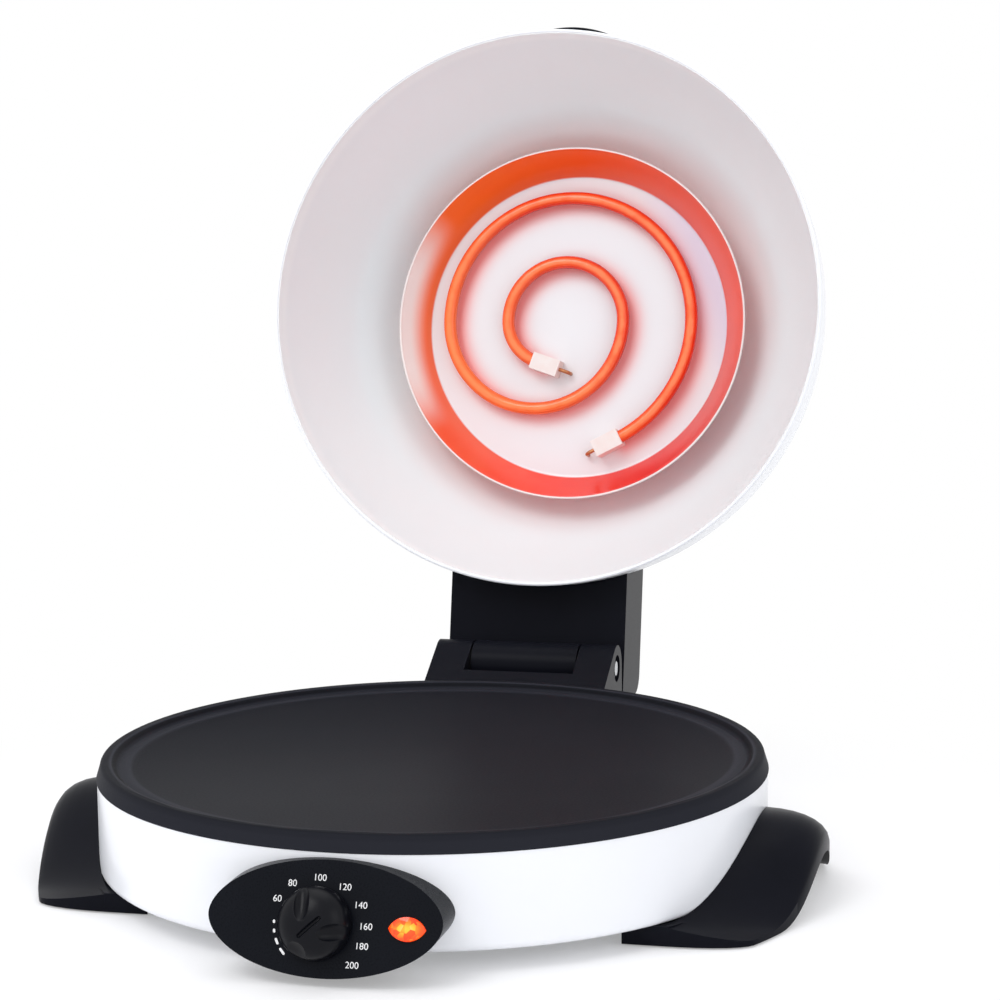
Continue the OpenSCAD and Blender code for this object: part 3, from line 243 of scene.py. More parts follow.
def reflector_enamel(name):
    """Vitreous enamel on the reflector: white glaze, with the heater's red and orange glow painted as a band on
    its wall.
    """
    material, tree, where = new_material(name)
    lid = add(tree, "ShaderNodeMapping", {"Vector": where, **TO_LID}, vector_type="POINT")
    flat = add(tree, "ShaderNodeVectorMath", {0: (lid, "Vector"), 1: (1.0, 1.0, 0.0)}, operation="MULTIPLY")
    out = add(tree, "ShaderNodeVectorMath", {0: (flat, "Vector")}, operation="LENGTH")
    part = add(tree, "ShaderNodeSeparateXYZ", {"Vector": (lid, "Vector")})
    # Round the painted glow band: left 0, bottom a quarter, right a half, top three quarters
    up = add(tree, "ShaderNodeMath", {0: (part, "Y"), 1: -1.0}, operation="MULTIPLY")
    turn = add(tree, "ShaderNodeMath", {0: (up, "Value"), 1: (part, "X")}, operation="ARCTAN2")
    share = add(tree, "ShaderNodeMapRange", {
        "Value": (turn, "Value"), "From Min": -math.pi, "From Max": math.pi})
    cloud = add(tree, "ShaderNodeTexNoise", {"Vector": where, "Scale": 1 / (22 * MM), "Detail": 3.0})
    sway = add(tree, "ShaderNodeMapRange", {"Value": (cloud, "Fac"), "To Min": -0.035, "To Max": 0.035})
    place = add(tree, "ShaderNodeMath", {0: (share, "Result"), 1: (sway, "Result")}, operation="ADD")
    painted_glow_band = add(tree, "ShaderNodeValToRGB", {"Fac": (place, "Value")})
    set_stops(painted_glow_band, ((0.0, "ff7a4a"), (0.1, "f86a48"), (0.22, "fa3210"), (0.34, "ea180c"), (0.42, "e8564e"),
                     (0.52, "fa6450"), (0.64, "f86a58"), (0.75, "ff5a24"), (0.86, "ff6a26"), (1.0, "ff7a4a")))
    # The painted glow dies out towards the lip on the far left
    left = add(tree, "ShaderNodeMath", {0: (part, "X"), 1: (out, "Value")}, operation="DIVIDE")
    bare = add(tree, "ShaderNodeMapRange", {
        "Value": (left, "Value"), "From Min": -0.76, "From Max": -0.97, "To Min": 0.0, "To Max": 1.0},
        interpolation_type="SMOOTHSTEP")
    outer = add(tree, "ShaderNodeMapRange", {
        "Value": (out, "Value"), "From Min": (PAN_FLOOR_R + 2) * MM, "From Max": (PAN_LIP_R - 3) * MM},
        interpolation_type="SMOOTHSTEP")
    fade = add(tree, "ShaderNodeMath", {0: (bare, "Result"), 1: (outer, "Result")}, operation="MULTIPLY")
    wall = add(tree, "ShaderNodeMix", {
        "Factor": (fade, "Value"), "A": (painted_glow_band, "Color"), "B": linear("f6ece8")}, data_type="RGBA")
    # Floor: a painted pink glow and reflection beside the tube, and a lavender cast outside the tube at the upper
    # right
    beside = add(tree, "ShaderNodeAttribute", attribute_name="beside_tube")
    painted_glow_mix = add(tree, "ShaderNodeMix", {
        "Factor": (beside, "Fac"), "A": linear("f1f1f3"), "B": linear("ff8f8c")}, data_type="RGBA")
    corner = add(tree, "ShaderNodeVectorMath", {0: (lid, "Vector"), 1: UPPER_RIGHT}, operation="DOT_PRODUCT")
    cool = add(tree, "ShaderNodeMapRange", {
        "Value": (corner, "Value"), "From Min": (PAN_FLOOR_R - 28) * MM, "From Max": (PAN_FLOOR_R - 6) * MM,
        "To Min": 0.0, "To Max": 0.8})
    floor = add(tree, "ShaderNodeMix", {
        "Factor": (cool, "Result"), "A": (painted_glow_mix, "Result"), "B": linear("e2dcf0")}, data_type="RGBA")
    rise = add(tree, "ShaderNodeMapRange", {
        "Value": (out, "Value"), "From Min": (PAN_FLOOR_R - 0.2) * MM, "From Max": (PAN_FLOOR_R + 0.6) * MM})
    inner = add(tree, "ShaderNodeMix", {
        "Factor": (rise, "Result"), "A": (floor, "Result"), "B": (wall, "Result")}, data_type="RGBA")
    # The rolled lip has no painted glow band
    lip = add(tree, "ShaderNodeMapRange", {
        "Value": (out, "Value"), "From Min": (PAN_LIP_R + 0.2) * MM, "From Max": (PAN_LIP_R + 0.6) * MM})
    hue = add(tree, "ShaderNodeMix", {
        "Factor": (lip, "Result"), "A": (inner, "Result"), "B": linear("f4e9e6")}, data_type="RGBA")
    peel = add(tree, "ShaderNodeTexNoise", {"Vector": where, "Scale": 1 / (3 * MM), "Detail": 2.0})
    bump = add(tree, "ShaderNodeBump", {"Height": (peel, "Fac"), "Strength": 1.0, "Distance": 0.005 * MM})
    glaze = add(tree, "ShaderNodeBsdfPrincipled", {
        "Base Color": (hue, "Result"), "Roughness": 0.2, "Normal": (bump, "Normal"), "IOR": 1.52})
    add(tree, "ShaderNodeOutputMaterial", {"Surface": (glaze, "BSDF")})
    return material


def non_stick(name):
    """Non-stick coating on cast aluminium: sprayed, satin black, finely speckled, paler in random patches, with
    painted highlight and shade in rings at its edge.
    """
    material, tree, where = new_material(name)
    flat = add(tree, "ShaderNodeVectorMath", {0: where, 1: (1.0, 1.0, 0.0)}, operation="MULTIPLY")
    out = add(tree, "ShaderNodeVectorMath", {0: (flat, "Vector")}, operation="LENGTH")
    zones = add(tree, "ShaderNodeMapRange", {
        "Value": (out, "Value"), "From Min": RINGS_IN * MM, "From Max": RINGS_OUT * MM})
    # Painted highlight on the rim's top edge and painted shade in the groove, ring by ring
    painted_light_rings = add(tree, "ShaderNodeValToRGB", {"Fac": (zones, "Result")})
    set_stops(painted_light_rings, ((0.0, "1a1b20"), (0.26, "1a1b20"), (0.33, "2c2d34"), (0.56, "26272d"), (0.6, "101115"),
                      (0.65, "17181c"), (0.68, "34353c"), (0.74, "191a1f"), (0.84, "1c1d22"), (0.9, "292a30"),
                      (1.0, "292a30")))
    speck = add(tree, "ShaderNodeTexNoise", {"Vector": where, "Scale": 1 / (1.2 * MM), "Detail": 3.0})
    cloud = add(tree, "ShaderNodeTexNoise", {"Vector": where, "Scale": 1 / (60 * MM), "Detail": 2.0})
    worn = add(tree, "ShaderNodeMapRange", {"Value": (cloud, "Fac"), "To Min": 0.0, "To Max": 0.35})
    hue = add(tree, "ShaderNodeMix", {
        "Factor": (worn, "Result"), "A": (painted_light_rings, "Color"), "B": linear("24252b")}, data_type="RGBA")
    dull = add(tree, "ShaderNodeMapRange", {"Value": (speck, "Fac"), "To Min": 0.42, "To Max": 0.54})
    bump = add(tree, "ShaderNodeBump", {"Height": (speck, "Fac"), "Strength": 1.0, "Distance": 0.02 * MM})
    coat = add(tree, "ShaderNodeBsdfPrincipled", {
        "Base Color": (hue, "Result"), "Roughness": (dull, "Result"), "Normal": (bump, "Normal"),
        "Specular IOR Level": 0.02, "IOR": 1.4})
    add(tree, "ShaderNodeOutputMaterial", {"Surface": (coat, "BSDF")})
    return material


def moulded(name, colour, shade, rough, pit=0.9, depth=0.01, gloss=0.5):
    """Injection-moulded plastic: one colour, with an eroded mould's fine pits, pit millimetres across."""
    material, tree, where = new_material(name)
    pits = add(tree, "ShaderNodeTexNoise", {"Vector": where, "Scale": 1 / (pit * MM), "Detail": 3.0})
    cloud = add(tree, "ShaderNodeTexNoise", {"Vector": where, "Scale": 1 / (30 * MM), "Detail": 2.0})
    hue = add(tree, "ShaderNodeMix", {
        "Factor": (cloud, "Fac"), "A": linear(colour), "B": linear(shade)}, data_type="RGBA")
    dull = add(tree, "ShaderNodeMapRange", {
        "Value": (pits, "Fac"), "To Min": rough - 0.05, "To Max": rough + 0.05})
    bump = add(tree, "ShaderNodeBump", {"Height": (pits, "Fac"), "Strength": 1.0, "Distance": depth * MM})
    skin = add(tree, "ShaderNodeBsdfPrincipled", {
        "Base Color": (hue, "Result"), "Roughness": (dull, "Result"), "Normal": (bump, "Normal"),
        "Specular IOR Level": gloss, "IOR": 1.5})
    add(tree, "ShaderNodeOutputMaterial", {"Surface": (skin, "BSDF")})
    return material


def sheet_metal(name, colour, shade, rough, run=0.6, stretch=(1.0, 1.0, 1.0)):
    """Bare or plated metal: rolled or turned, with fine scratches run mm apart and an uneven gloss."""
    material, tree, where = new_material(name)
    drawn = add(tree, "ShaderNodeMapping", {"Vector": where, "Scale": stretch})
    lines = add(tree, "ShaderNodeTexNoise", {
        "Vector": (drawn, "Vector"), "Scale": 1 / (run * MM), "Detail": 4.0})
    cloud = add(tree, "ShaderNodeTexNoise", {"Vector": where, "Scale": 1 / (12 * MM), "Detail": 2.0})
    hue = add(tree, "ShaderNodeMix", {
        "Factor": (cloud, "Fac"), "A": linear(colour), "B": linear(shade)}, data_type="RGBA")
    dull = add(tree, "ShaderNodeMapRange", {
        "Value": (lines, "Fac"), "To Min": rough - 0.12, "To Max": rough + 0.12})
    bump = add(tree, "ShaderNodeBump", {"Height": (lines, "Fac"), "Strength": 1.0, "Distance": 0.008 * MM})
    metal = add(tree, "ShaderNodeBsdfPrincipled", {
        "Base Color": (hue, "Result"), "Metallic": 1.0, "Roughness": (dull, "Result"),
        "Normal": (bump, "Normal")})
    add(tree, "ShaderNodeOutputMaterial", {"Surface": (metal, "BSDF")})
    return material


def hot_tube(name):
    """Red-hot quartz tube: glassy, with painted shade, deep orange-red, at its flanks and a painted highlight,
    paler, along the side that faces out.
    """
    material, tree, where = new_material(name)
    # Painted highlight along the side that faces out of the lid, painted shade on the tube's flanks
    facing = LID_PLACE.to_3x3() @ Vector((0.0, 0.0, -1.0))
    square = add(tree, "ShaderNodeVectorMath", {0: (where[0], "Normal"), 1: facing}, operation="DOT_PRODUCT")
    cloud = add(tree, "ShaderNodeTexNoise", {"Vector": where, "Scale": 1 / (9 * MM), "Detail": 2.0})
    uneven = add(tree, "ShaderNodeMapRange", {"Value": (cloud, "Fac"), "To Min": -0.12, "To Max": 0.12})
    level = add(tree, "ShaderNodeMath", {0: (square, "Value"), 1: (uneven, "Result")}, operation="ADD")
    skin = add(tree, "ShaderNodeValToRGB", {"Fac": (level, "Value")})
    set_stops(skin, ((0.0, "b8200c"), (0.4, "de2a10"), (0.72, "ee3c16"), (0.9, "f8602e"), (1.0, "ff8250")))
    # More orange towards the lower left of the spiral
    lid = add(tree, "ShaderNodeMapping", {"Vector": where, **TO_LID}, vector_type="POINT")
    side = add(tree, "ShaderNodeVectorMath", {0: (lid, "Vector"), 1: LOWER_LEFT}, operation="DOT_PRODUCT")
    hot = add(tree, "ShaderNodeMapRange", {
        "Value": (side, "Value"), "From Min": -20 * MM, "From Max": 80 * MM, "To Min": 0.0, "To Max": 0.6})
    hues = add(tree, "ShaderNodeMix", {
        "Factor": (hot, "Result"), "A": (skin, "Color"), "B": linear("ff8a46")}, data_type="RGBA")
    glass = add(tree, "ShaderNodeBsdfPrincipled", {
        "Base Color": (hues, "Result"), "Roughness": 0.16, "IOR": 1.46,
        "Emission Color": (hues, "Result"), "Emission Strength": 0.06})
    add(tree, "ShaderNodeOutputMaterial", {"Surface": (glass, "BSDF")})
    return material


def steatite(name):
    """Unglazed steatite ceramic: pressed, chalky off-white, fine grained, faintly pink from the glow."""
    material, tree, where = new_material(name)
    grit = add(tree, "ShaderNodeTexNoise", {"Vector": where, "Scale": 1 / (0.6 * MM), "Detail": 3.0})
    cloud = add(tree, "ShaderNodeTexNoise", {"Vector": where, "Scale": 1 / (6 * MM), "Detail": 2.0})
    hue = add(tree, "ShaderNodeMix", {
        "Factor": (cloud, "Fac"), "A": linear("f4eeea"), "B": linear("f2dcd6")}, data_type="RGBA")
    bump = add(tree, "ShaderNodeBump", {"Height": (grit, "Fac"), "Strength": 1.0, "Distance": 0.03 * MM})
    body = add(tree, "ShaderNodeBsdfPrincipled", {
        "Base Color": (hue, "Result"), "Roughness": 0.6, "Normal": (bump, "Normal"), "IOR": 1.5})
    add(tree, "ShaderNodeOutputMaterial", {"Surface": (body, "BSDF")})
    return material


def lamp_lens(name):
    """Moulded orange acrylic lens, faceted inside and lit from behind: yellow in the middle, red outside."""
    material, tree, where = new_material(name)
    middle = FACE_PLACE @ Vector((LAMP_RIGHT, 0.0, 0.0))
    off = add(tree, "ShaderNodeVectorMath", {0: where, 1: middle}, operation="SUBTRACT")
    squeezed = add(tree, "ShaderNodeVectorMath", {
        0: (off, "Vector"), 1: (1.0, 1.5, 1.5)}, operation="MULTIPLY")
    distance = add(tree, "ShaderNodeVectorMath", {0: (squeezed, "Vector")}, operation="LENGTH")
    fade = add(tree, "ShaderNodeMapRange", {
        "Value": (distance, "Value"), "From Min": 0.0, "From Max": 12 * MM})
    facets = add(tree, "ShaderNodeTexVoronoi", {
        "Vector": (off, "Vector"), "Scale": 1 / (2.6 * MM)}, feature="F1")
    glint = add(tree, "ShaderNodeSeparateColor", {"Color": (facets, "Color")})
    jump = add(tree, "ShaderNodeMapRange", {"Value": (glint, "Red"), "To Min": -0.2, "To Max": 0.2})
    level = add(tree, "ShaderNodeMath", {0: (fade, "Result"), 1: (jump, "Result")}, operation="ADD")
    hues = add(tree, "ShaderNodeValToRGB", {"Fac": (level, "Value")})
    set_stops(hues, ((0.0, "fff6b0"), (0.18, "ffd83c"), (0.32, "ff9a1c"),
                     (0.48, "ff5a14"), (0.7, "f23a0a"), (1.0, "c81c06")))
    resin = add(tree, "ShaderNodeBsdfPrincipled", {
        "Base Color": linear("a82808"), "Roughness": 0.08, "IOR": 1.49,
        "Emission Color": (hues, "Color"), "Emission Strength": 0.95})
    add(tree, "ShaderNodeOutputMaterial", {"Surface": (resin, "BSDF")})
    return material


def lamp_glass(name):
    """Neon lamp's drawn glass envelope, tinted warm by the gas inside, with faint draw lines along it."""
    material, tree, where = new_material(name)
    lines = add(tree, "ShaderNodeTexNoise", {"Vector": where, "Scale": 1 / (1.5 * MM), "Detail": 1.0})
    bump = add(tree, "ShaderNodeBump", {"Height": (lines, "Fac"), "Strength": 1.0, "Distance": 0.01 * MM})
    glass = add(tree, "ShaderNodeBsdfPrincipled", {
        "Base Color": linear("ffd9b0"), "Roughness": 0.05, "Transmission Weight": 0.8,
        "Normal": (bump, "Normal"), "IOR": 1.5})
    add(tree, "ShaderNodeOutputMaterial", {"Surface": (glass, "BSDF")})
    return material


FINISH = {
    "white_enamel": powder_coat("gloss_white_powder_coat", "f8f9fb", "f1f3f7", 0.2),
    "bowl_enamel": bowl_enamel("satin_grey_bowl_enamel"),
    "pan_enamel": reflector_enamel("vitreous_enamel_with_painted_heater_glow"),
    "nonstick": non_stick("black_non_stick_coating"),
    "shield_metal": sheet_metal("mill_finish_aluminium", "d0d2d4", "c4c6c9", 0.32, 0.8, (1.0, 0.1, 1.0)),
    "zinc_steel": sheet_metal("zinc_plated_steel", "b4b8bd", "a6abb2", 0.36, 0.8),
    "screw_steel": sheet_metal("plated_screw_steel", "c2c4c8", "b0b3b8", 0.26, 0.5),
    "heater_sheath": sheet_metal("oxidised_heater_sheath", "5c5a58", "4a4846", 0.5, 0.8),
    "heater_glow": hot_tube("red_hot_quartz_tube"),
    "black_plastic": moulded("black_satin_moulded_plastic", "0f1016", "15161d", 0.32, gloss=0.04),
    "black_panel": moulded("black_semi_gloss_panel", "0d0f14", "13151b", 0.28, depth=0.004, gloss=0.07),
    "black_knob": moulded("black_semi_gloss_knob", "0a0b10", "0e0f15", 0.3, pit=3.0, depth=0.002, gloss=0.14),
    "lamp_orange": lamp_lens("orange_acrylic_lens"),
    "neon_glass": lamp_glass("neon_lamp_glass"),
    "ceramic": steatite("unglazed_steatite_ceramic"),
    "bush_nylon": moulded("natural_nylon", "e6e1d3", "ddd7c7", 0.42),
    "lead_copper": sheet_metal("tinned_copper_lead", "c98a62", "b87850", 0.35, 0.4),
    "pad_rubber": moulded("moulded_rubber", "1a1a1d", "202024", 0.7, depth=0.03),
}
SLOT = {row["node"]: row["material_slot"] for row in frame["record"]["subparts"]}
BODY = {node: body for body, nodes in frame["record"]["behaviour"]["bodies"].items() for node in nodes}


def stand_in(mesh, node, sharp=180.0, edge=0.0):
    """Puts a mesh in a CAD node's place, smooth below the sharp angle, with its edges rounded by edge mm."""
    mesh.materials.clear()
    mesh.materials.append(FINISH[SLOT[node]])
    mesh.polygons.foreach_set("use_smooth", np.ones(len(mesh.polygons), dtype=bool))
    mesh.set_sharp_from_angle(angle=math.radians(sharp))
    piece = bpy.data.objects.new(node + "_skin", mesh)
    bpy.context.collection.objects.link(piece)
    if edge:
        rounder = piece.modifiers.new("rounded_edges", "BEVEL")
        rounder.width = edge * MM
        rounder.segments = EDGE_FACES
        rounder.limit_method = "ANGLE"
        rounder.angle_limit = math.radians(EDGE_FROM)
        rounder.harden_normals = True
    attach(piece, BODY[node])
    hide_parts(node)
    return piece


def refined(node, sharp=180.0, edge=0.0):
    """A CAD node's own solid, its points merged and its flats joined so that it can be smoothed and edged."""
    mesh = frame["nodes"][node].data.copy()
    work = bmesh.new()
    work.from_mesh(mesh)
    bmesh.ops.remove_doubles(work, verts=work.verts, dist=2e-6)
    bmesh.ops.dissolve_limit(work, angle_limit=math.radians(0.5), verts=work.verts, edges=work.edges)
    work.to_mesh(mesh)
    work.free()
    if "custom_normal" in mesh.attributes:
        mesh.attributes.remove(mesh.attributes["custom_normal"])
    return stand_in(mesh, node, sharp, edge)


def wrapped(name, grid):
    """A closed mesh from a grid of points in mm, whose rows and columns both run back to their start."""
    rows, cols = grid.shape[:2]
    i, j = np.meshgrid(np.arange(rows), np.arange(cols), indexing="ij")
    after_i, after_j = (i + 1) % rows, (j + 1) % cols
    corners = [i * cols + j, after_i * cols + j, after_i * cols + after_j, i * cols + after_j]
    faces = np.stack(corners, axis=2)
    mesh = bpy.data.meshes.new(name)
    mesh.from_pydata((grid.reshape(-1, 3) * MM).tolist(), [], faces.reshape(-1, 4).tolist())
    return mesh


def closed(mesh, place):
    """Merges the poles' points, turns the faces outwards by the volume's sign and puts the mesh in place."""
    work = bmesh.new()
    work.from_mesh(mesh)
    bmesh.ops.remove_doubles(work, verts=work.verts, dist=1e-7)
    if work.calc_volume(signed=True) < 0:
        bmesh.ops.reverse_faces(work, faces=work.faces)
    work.to_mesh(mesh)
    work.free()
    mesh.transform(place)
    return mesh


def turned(name, line, steps=240):
    """Carries a line of (radius, height) points once round the axis: x = r cos a, y = r sin a, z = height."""
    turn = np.linspace(0.0, 2 * np.pi, steps, endpoint=False)[:, None]
    r = line[None, :, 0]
    h = np.broadcast_to(line[None, :, 1], (steps, len(line)))
    return wrapped(name, np.stack([r * np.cos(turn), r * np.sin(turn), h], axis=2))


def sheet(line, thick):
    """Joins an open line of (radius, height) points and the same line moved square to itself by thick."""
    run = np.gradient(line, axis=0)
    run /= np.linalg.norm(run, axis=1)[:, None]
    moved = line + thick * np.stack([-run[:, 1], run[:, 0]], axis=1)
    moved[:, 0] = np.where(line[:, 0] < 0.01, 0.0, np.maximum(moved[:, 0], 0.0))
    return np.concatenate([line, moved[::-1]])


def bowl():
    """Inner bowl, thin sheet: radius = floor + span cos^p t and height = rim + depth sin^p t, p = 2 / 1.6."""
    t = np.linspace(0.0, np.pi / 2, LINE_STEPS)
    side = np.stack([BOWL_FLOOR_R + (BOWL_RIM_R - BOWL_FLOOR_R) * np.cos(t).clip(0) ** BOWL_POWER,
                     BOWL_RIM_Z + (BOWL_TOP_Z - BOWL_RIM_Z) * np.sin(t) ** BOWL_POWER], axis=1)
    across = np.linspace(BOWL_FLOOR_R, 0.0, 16)[1:]
    floor = np.stack([across, np.full_like(across, BOWL_TOP_Z)], axis=1)
    outline = sheet(np.concatenate([side, floor]), -BOWL_THICK)
    return closed(turned("bowl", outline), LID_PLACE)


def dome_line(r, top):
    """Super-ellipse from the dome's foot to its top: radius = r cos^p t, height = low + rise sin^p t.

    The power p is 2 / 3, and the steps of t are finer at both ends.
    """
    s = np.linspace(0.0, 1.0, LINE_STEPS)
    t = np.pi / 2 * s ** 1.5 / (s ** 1.5 + (1 - s) ** 1.5)
    high = DOME_LOW + (top - DOME_LOW) * np.sin(t) ** DOME_POWER
    return np.stack([r * np.cos(t).clip(0) ** DOME_POWER, high], axis=1)


def lid_shell():
    """Outer lid, thin sheet: the dome's outer and inner lines, and a circle rolled at its foot."""
    outer = dome_line(DOME_R, DOME_TOP)
    inner = dome_line(DOME_R - DOME_THICK, DOME_TOP - DOME_THICK)
    outer_meets = math.acos((DOME_R - BEAD_AT) / BEAD_R)
    inner_meets = math.acos((DOME_R - DOME_THICK - BEAD_AT) / BEAD_R)
    turn = np.linspace(outer_meets, inner_meets - 2 * np.pi, 28)
    bead = np.stack([BEAD_AT + BEAD_R * np.cos(turn), BEAD_R + BEAD_R * np.sin(turn)], axis=1)
    outer = outer[outer[:, 1] > bead[0, 1] + 0.05]
    inner = inner[inner[:, 1] > bead[-1, 1] + 0.05]
    return closed(turned("lid_shell", np.concatenate([outer[::-1], bead, inner])), LID_PLACE)


def beside_tube(points):
    """Painted glow and reflection of the tube on a point of the pan at distance d from the spiral: share exp(-(d /
    reach)^2).
    """
    path = []
    for r, x, first, turn in SPIRAL:
        a = np.radians(first + np.linspace(0.0, turn, max(int(abs(turn) * r / 90), 8)))
        path.append(np.stack([x + r * np.cos(a), SPIRAL_Y + r * np.sin(a)], axis=1))
    path = np.concatenate(path) + PAINTED_GLOW_SHIFT
    gap = np.linalg.norm(points[:, None, :2] - path[None, :, :], axis=2).min(axis=1)
    return PAINTED_GLOW_SHARE * np.exp(-(gap / PAINTED_GLOW_REACH) ** 2)


def pan():
    """Reflector pan, thin sheet: flat floor, small bend, straight sloping wall and half-round rolled lip."""
    bend = np.array([PAN_FLOOR_R, PAN_FLOOR_Z]) + PAN_BEND
    floor_r = np.linspace(0.0, bend[0, 0], 96)
    floor = np.stack([floor_r, np.full_like(floor_r, PAN_FLOOR_Z)], axis=1)
    along = np.linspace(0.0, 1.0, 24)[1:, None]
    wall = bend[-1] + along * (np.array([PAN_LIP_R, PAN_LIP_Z]) - bend[-1])
    turn = np.linspace(np.pi, 2 * np.pi, 12)[1:, None]
    roll = PAN_ROLL * np.concatenate([np.cos(turn), np.sin(turn)], axis=1)
    lip = np.array([PAN_LIP_R + PAN_ROLL, PAN_LIP_Z]) + roll
    back = np.array([[PAN_LIP_R + 2 * PAN_ROLL - 0.2, PAN_LIP_Z + 0.6],
                     [PAN_FLOOR_R + 1.0, PAN_FLOOR_Z - 0.2],
                     [PAN_FLOOR_R - 0.5, PAN_FLOOR_Z + PAN_THICK],
                     [0.0, PAN_FLOOR_Z + PAN_THICK]])
    mesh = turned("reflector_pan", np.concatenate([floor, bend[1:], wall, lip, back]), 288)
    mesh = closed(mesh, Matrix())
    points = np.empty(len(mesh.vertices) * 3)
    mesh.vertices.foreach_get("co", points)
    glow = mesh.attributes.new("beside_tube", "FLOAT", "POINT")
    glow.data.foreach_set("value", beside_tube(points.reshape(-1, 3) / MM).astype(np.float32))
    mesh.transform(LID_PLACE)
    return mesh


def from_point(x, y, point, lean):
    """Where points lie from one point, along the direction at the angle lean and square to it."""
    b = math.radians(lean)
    dx, dy = x - point[0], y - point[1]
    return dx * math.cos(b) + dy * math.sin(b), dy * math.cos(b) - dx * math.sin(b)


def knob():
    """Knob: height = skirt + crown (1 - (p / R)^n)^(1 / n) over the radius p, less three scoops and a groove.

    A scoop takes depth (1 - (u / a)^2 - (v / b)^2)^0.8 off inside its oval, the groove a half round.
    """
    crown = KNOB_HIGH - KNOB_SKIRT
    s = np.linspace(0.0, np.pi / 2, 110)
    rho = KNOB_R * np.sin(s) ** (2 / KNOB_POWER)
    high = KNOB_SKIRT + crown * np.cos(s).clip(0) ** (2 / KNOB_POWER)
    turn = np.linspace(0.0, 2 * np.pi, 360, endpoint=False)[:, None]
    x, y = rho * np.cos(turn), rho * np.sin(turn)
    z = np.broadcast_to(high, x.shape).copy()
    for at, out, lean, half_long, half_wide, depth in SCOOPS:
        a = math.radians(at)
        u, v = from_point(x, y, (out * math.cos(a), out * math.sin(a)), lean)
        z -= depth * (1 - (u / half_long) ** 2 - (v / half_wide) ** 2).clip(0) ** SCOOP_POWER
    u, v = from_point(x, y, GROOVE_AT, GROOVE_TURN)
    off = np.hypot(v, (abs(u) - (GROOVE_LONG - GROOVE_WIDE) / 2).clip(0))
    z -= GROOVE_DEEP * (1 - (2 * off / GROOVE_WIDE) ** 2).clip(0) ** 0.5
    # Straight wall from the dome's edge to the foot, then the rounded foot and the flat base
    fall = np.linspace(0.0, 1.0, 8)[1:][None, :]
    wall = z[:, -1:] * (1 - fall) + KNOB_FOOT * fall
    base_r = np.broadcast_to([KNOB_R - 0.1, KNOB_R - KNOB_FOOT, KNOB_R * 0.5, 0.0], (len(turn), 4))
    base_z = np.broadcast_to([0.1, 0.0, 0.0, 0.0], (len(turn), 4))
    r = np.concatenate([np.broadcast_to(rho, z.shape), KNOB_R * np.ones_like(wall), base_r], axis=1)
    h = np.concatenate([z, wall, base_z], axis=1)
    grid = np.stack([r * np.cos(turn), r * np.sin(turn), h + KNOB_GAP], axis=2)
    return closed(wrapped("knob", grid), FACE_PLACE)


# Dial print: each number's angle and radius on the face, and the ticks' angles and lengths, in degrees and mm
DIAL_NUMBERS = (("60", 152, 21.2), ("80", 126, 21.0), ("100", 90, 20.0), ("120", 55, 20.2),
                ("140", 25, 21.4), ("160", 0, 22.4), ("180", -22, 22.9), ("200", -44, 24.4))
NUMBER_HEIGHT = 3.0 * MM
# A figure is 1 / 1.38 of its font's size tall
FONT_SIZE = NUMBER_HEIGHT * 1.38
TICKS = ((180, 1.6), (192, 1.8), (206, 3.0), (221, 3.6))
TICK_RADIUS = 19.4 * MM
TICK_WIDTH = 1.1 * MM
PRINT_LIFT = 0.06 * MM


def number_mesh(text, angle, radius):
    """A number as flat glyphs, its middle at an angle and radius on the panel's face."""
    curve = bpy.data.curves.new("dial_number_" + text, "FONT")
    curve.body = text
    curve.size = FONT_SIZE
    curve.align_x, curve.align_y = "CENTER", "CENTER"
    curve.extrude = PRINT_LIFT / 2
    glyph = bpy.data.objects.new("dial_number_" + text, curve)
    bpy.context.collection.objects.link(glyph)
    mesh = bpy.data.meshes.new_from_object(glyph)
    bpy.data.objects.remove(glyph)
    place = Matrix.Translation((radius * math.cos(angle), radius * math.sin(angle), PRINT_LIFT))
    mesh.transform(FACE_PLACE @ place)
    return mesh


def tick_mesh(angle, length):
    """A round-ended bar across the dial's radius: two half circles of points joined as one thin prism."""
    turns = np.linspace(-math.pi / 2, math.pi / 2, 9)
    half, r = max(length / 2 - TICK_WIDTH / 2, 0.0), TICK_WIDTH / 2
    x = np.concatenate([half + r * np.cos(turns), -half - r * np.cos(turns)])
    y = np.concatenate([r * np.sin(turns), -r * np.sin(turns)])
    points = np.concatenate([np.stack([x, y, np.full_like(x, z)], axis=1) for z in (0.0, PRINT_LIFT)])
    n = len(x)
    i = np.arange(n)
    sides = np.stack([i, (i + 1) % n, n + (i + 1) % n, n + i], axis=1).tolist()
    mesh = bpy.data.meshes.new("dial_tick")
    mesh.from_pydata(points.tolist(), [], sides + [i[::-1].tolist(), (n + i).tolist()])
    place = Matrix.Translation((TICK_RADIUS * math.cos(angle), TICK_RADIUS * math.sin(angle), 0.0))
    mesh.transform(FACE_PLACE @ place @ Matrix.Rotation(angle - math.pi / 2, 4, "Z"))
    return mesh


def dial_print():
    """White pad-printed numbers and ticks round the knob, lying on the panel's face."""
    ink = moulded("white_pad_print_ink", "f6f6f6", "f0f0f0", 0.5, depth=0.002)
    parts = [("dial_number_" + text, number_mesh(text, math.radians(turn), far * MM))
             for text, turn, far in DIAL_NUMBERS]
    parts += [(f"dial_tick_{i + 1}", tick_mesh(math.radians(turn), length * MM))
              for i, (turn, length) in enumerate(TICKS)]
    for name, mesh in parts:
        mesh.materials.clear()
        mesh.materials.append(ink)
        piece = bpy.data.objects.new(name, mesh)
        bpy.context.collection.objects.link(piece)
        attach(piece, "base")


